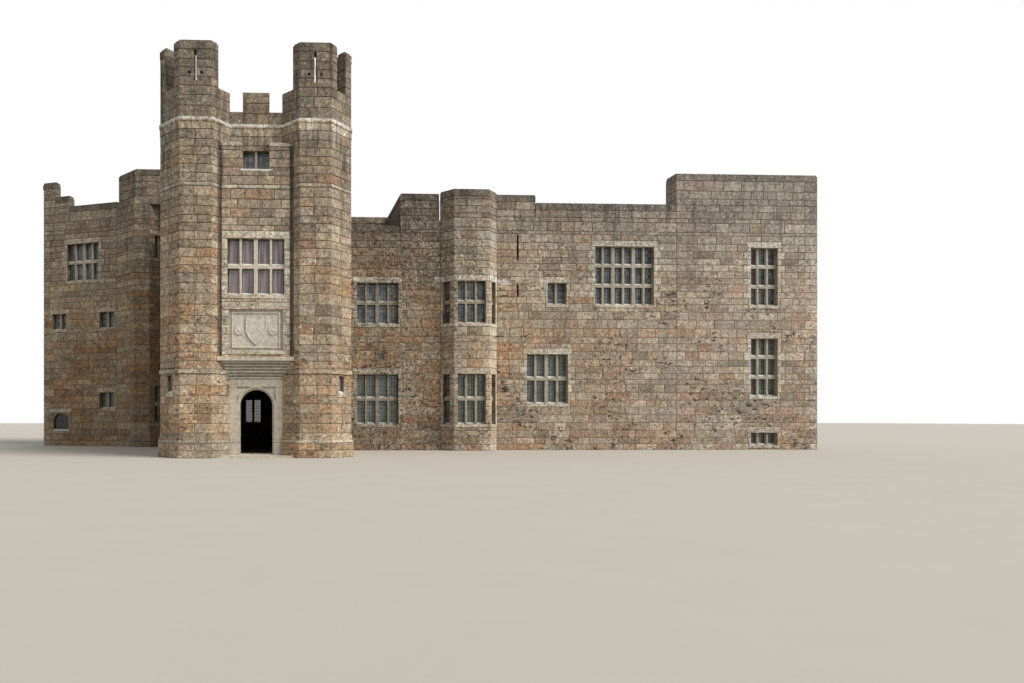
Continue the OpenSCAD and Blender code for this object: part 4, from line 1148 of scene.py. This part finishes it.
def addShield(bm, z):
    shield = bmesh.ops.create_grid(bm, x_segments=10, y_segments=14, size=0.5)["verts"]
    shoulder = relief["shoulder"]
    for vert in shield:
        down = 0.5 - vert.co.y
        taper = math.cos(max(0, down - shoulder) / (1 - shoulder) * math.pi / 2) ** 0.8 if down < 1 else 0
        vert.co.x *= relief["shieldWidth"] * max(taper, 0.02)
        vert.co.y *= relief["shieldHeight"]
    onPanel(bm, shield, 0, z)
    top = raiseFrom(bm, shield, relief["raised"])
    bmesh.ops.inset_region(bm, faces=top, thickness=relief["border"], depth=0)
    pushOut(bm, top, -relief["hollow"])


def addRosette(bm, u, z):
    flower = bmesh.ops.create_circle(bm, cap_ends=True, segments=64, radius=relief["rosette"])["verts"]
    for vert in flower:
        petal = abs(math.cos(relief["petals"] / 2 * math.atan2(vert.co.y, vert.co.x)))
        vert.co *= 1 - relief["petalDepth"] + relief["petalDepth"] * petal
    onPanel(bm, flower, u, z)
    raiseFrom(bm, flower, relief["rosetteRaised"])
    boss = bmesh.ops.create_uvsphere(bm, u_segments=20, v_segments=10, radius=relief["boss"])["verts"]
    for vert in boss:
        vert.co.z *= relief["bossFlat"]
    onPanel(bm, boss, u, z)
    bmesh.ops.translate(bm, verts=boss, vec=panel.normal * relief["bossAt"])


def makeRelief():
    bm = bmesh.new()
    middle = (reliefLow.z + reliefHigh.z) / 2
    halfU = (reliefHigh.x - reliefLow.x) / 2 - relief["margin"]
    halfZ = (reliefHigh.z - reliefLow.z) / 2 - relief["margin"]
    innerU, innerZ = halfU - relief["rim"], halfZ - relief["rim"]
    layers = -relief["sunk"], relief["rimProud"]
    for side in (-1, 1):
        boxOn(bm, panel, *sorted((side * halfU, side * innerU)), middle - halfZ, middle + halfZ, *layers)
        boxOn(bm, panel, -innerU, innerU, *sorted((middle + side * halfZ, middle + side * innerZ)), *layers)
    soften(bm, list(bm.edges), relief["rimEdge"])
    addShield(bm, middle)
    for side in (-1, 1):
        addRosette(bm, side * relief["rosetteAt"], middle)
    bmesh.ops.recalc_face_normals(bm, faces=bm.faces)
    makePiece("panel_carving", bm, reliefMaterial)


makeRelief()
print("panel carved")

# Rolls of the lead roofs
rolls = {"pitch": 0.75, "width": 0.05, "height": 0.038, "sunk": 0.004, "edge": 0.016,
         "step": 0.1, "clear": 0.06, "least": 0.5, "headroom": 1.5}


def bareStretches(tree, low, high, x):
    # the stretches of one line along a roof that lie open to the sky
    start = None
    steps = int((high.y - low.y) / rolls["step"])
    for k in range(steps + 2):
        y = low.y + k * rolls["step"]
        hit = tree.ray_cast(Vector((x, y, high.z + 0.02)), -up, 0.1)[0] if k <= steps else None
        clear = hit is not None and wholeTree.ray_cast(hit + up * 0.03, up, rolls["headroom"])[0] is None
        if clear and start is None:
            start = y
        elif not clear and start is not None:
            yield start + rolls["clear"], y - rolls["step"] - start - rolls["clear"]
            start = None


def makeRolls(name):
    bm = bmesh.new()
    low, high = nodeBoxes[name]
    x = low.x + rolls["pitch"] / 2
    while x < high.x:
        for start, length in bareStretches(nodeTrees[name], low, high, x):
            if length > rolls["least"]:
                place = Matrix.Translation((x, start + length / 2, high.z + rolls["height"] / 2))
                size = Matrix.Diagonal((rolls["width"], length, rolls["height"] + rolls["sunk"], 1))
                bmesh.ops.create_cube(bm, size=1, matrix=place @ size)
        x += rolls["pitch"]
    along = [e for e in bm.edges if abs(e.verts[0].co.y - e.verts[1].co.y) > 0.4
             and e.verts[0].co.z > high.z + 0.01]
    soften(bm, along, rolls["edge"], 3)
    makePiece(name + "_rolls", bm, roofMaterial)


for name in nodes:
    if name.endswith("roof"):
        makeRolls(name)
print("roofs done")

# Finishes of the frame's own nodes
for name, node in nodes.items():
    if "glass" in name:
        material = glassMaterial if name != "tower_glass" else curtainMaterial
    elif "roof" in name:
        material = roofMaterial
    elif "floors" in name:
        material = flagMaterial
    elif name in coursedNodes:
        high = "parapet" in name or "crown" in name
        # the block and link turret get painted shade through shadeOf
        material = shellFinish(name + "_shell", narrowBands(wallFaces[name]), high, 1 + shadeOf(name) * 0.4)
    elif name == "relief_panel":
        material = reliefMaterial
    elif name in ("range_mullions", "left_mullions"):
        material = mullionMaterial
    else:
        material = dressedMaterial
    for k in range(len(node.material_slots)):
        node.material_slots[k].material = material

# Light, floor and background
studio = {"sky": 0.46, "skyColour": (0.93, 0.96, 1.0), "sunStrength": 3.1, "sunSpread": 35,
          "sunFrom": (60, 40), "sunColour": (1.0, 0.97, 0.92), "floorSize": 220}


def makeWorld():
    world = bpy.data.worlds.new("world")
    bpy.context.scene.world = world
    world.use_nodes = True
    maker = NodeMaker(world.node_tree)
    colour, strength = studio["skyColour"], studio["sky"]
    light = maker.node("Background", {}, {"Color": colour, "Strength": strength})
    white = maker.node("Background", {}, {"Color": (1, 1, 1)})
    seen, glossy, through = [
        maker.node("LightPath", output=f"Is {ray} Ray") for ray in ("Camera", "Glossy", "Transmission")]
    whiteFor = maker.sum("MAXIMUM", maker.sum("MAXIMUM", seen, glossy), through)
    mix = maker.node("MixShader", {}, {0: whiteFor, 1: light, 2: white})
    maker.plug(world.node_tree.nodes["World Output"].inputs["Surface"], mix)


def makeSun():
    lamp = bpy.data.lights.new("sun", "SUN")
    lamp.energy = studio["sunStrength"]
    lamp.angle = math.radians(studio["sunSpread"])
    lamp.color = studio["sunColour"]
    azimuth, elevation = (math.radians(a) for a in studio["sunFrom"])
    towards = Vector((math.sin(azimuth) * math.cos(elevation), -math.cos(azimuth) * math.cos(elevation),
                      math.sin(elevation)))
    addObject("sun", lamp).rotation_euler = towards.to_track_quat("Z", "Y").to_euler()


def makeFloor():
    bm = bmesh.new()
    bmesh.ops.create_grid(bm, x_segments=1, y_segments=1, size=studio["floorSize"])
    mesh = bpy.data.meshes.new("floor")
    bm.to_mesh(mesh)
    bm.free()
    finish = Finish("pale_floor", 0.95)
    finish.plug(finish.shader.inputs["Base Color"],
                finish.brightened(tone("floor"), 0.96 + finish.noise(0.8, 3) * 0.08))
    mesh.materials.append(finish.material)
    addObject("floor", mesh)


makeWorld()
makeSun()
makeFloor()
bpy.context.scene.view_settings.view_transform = "Standard"
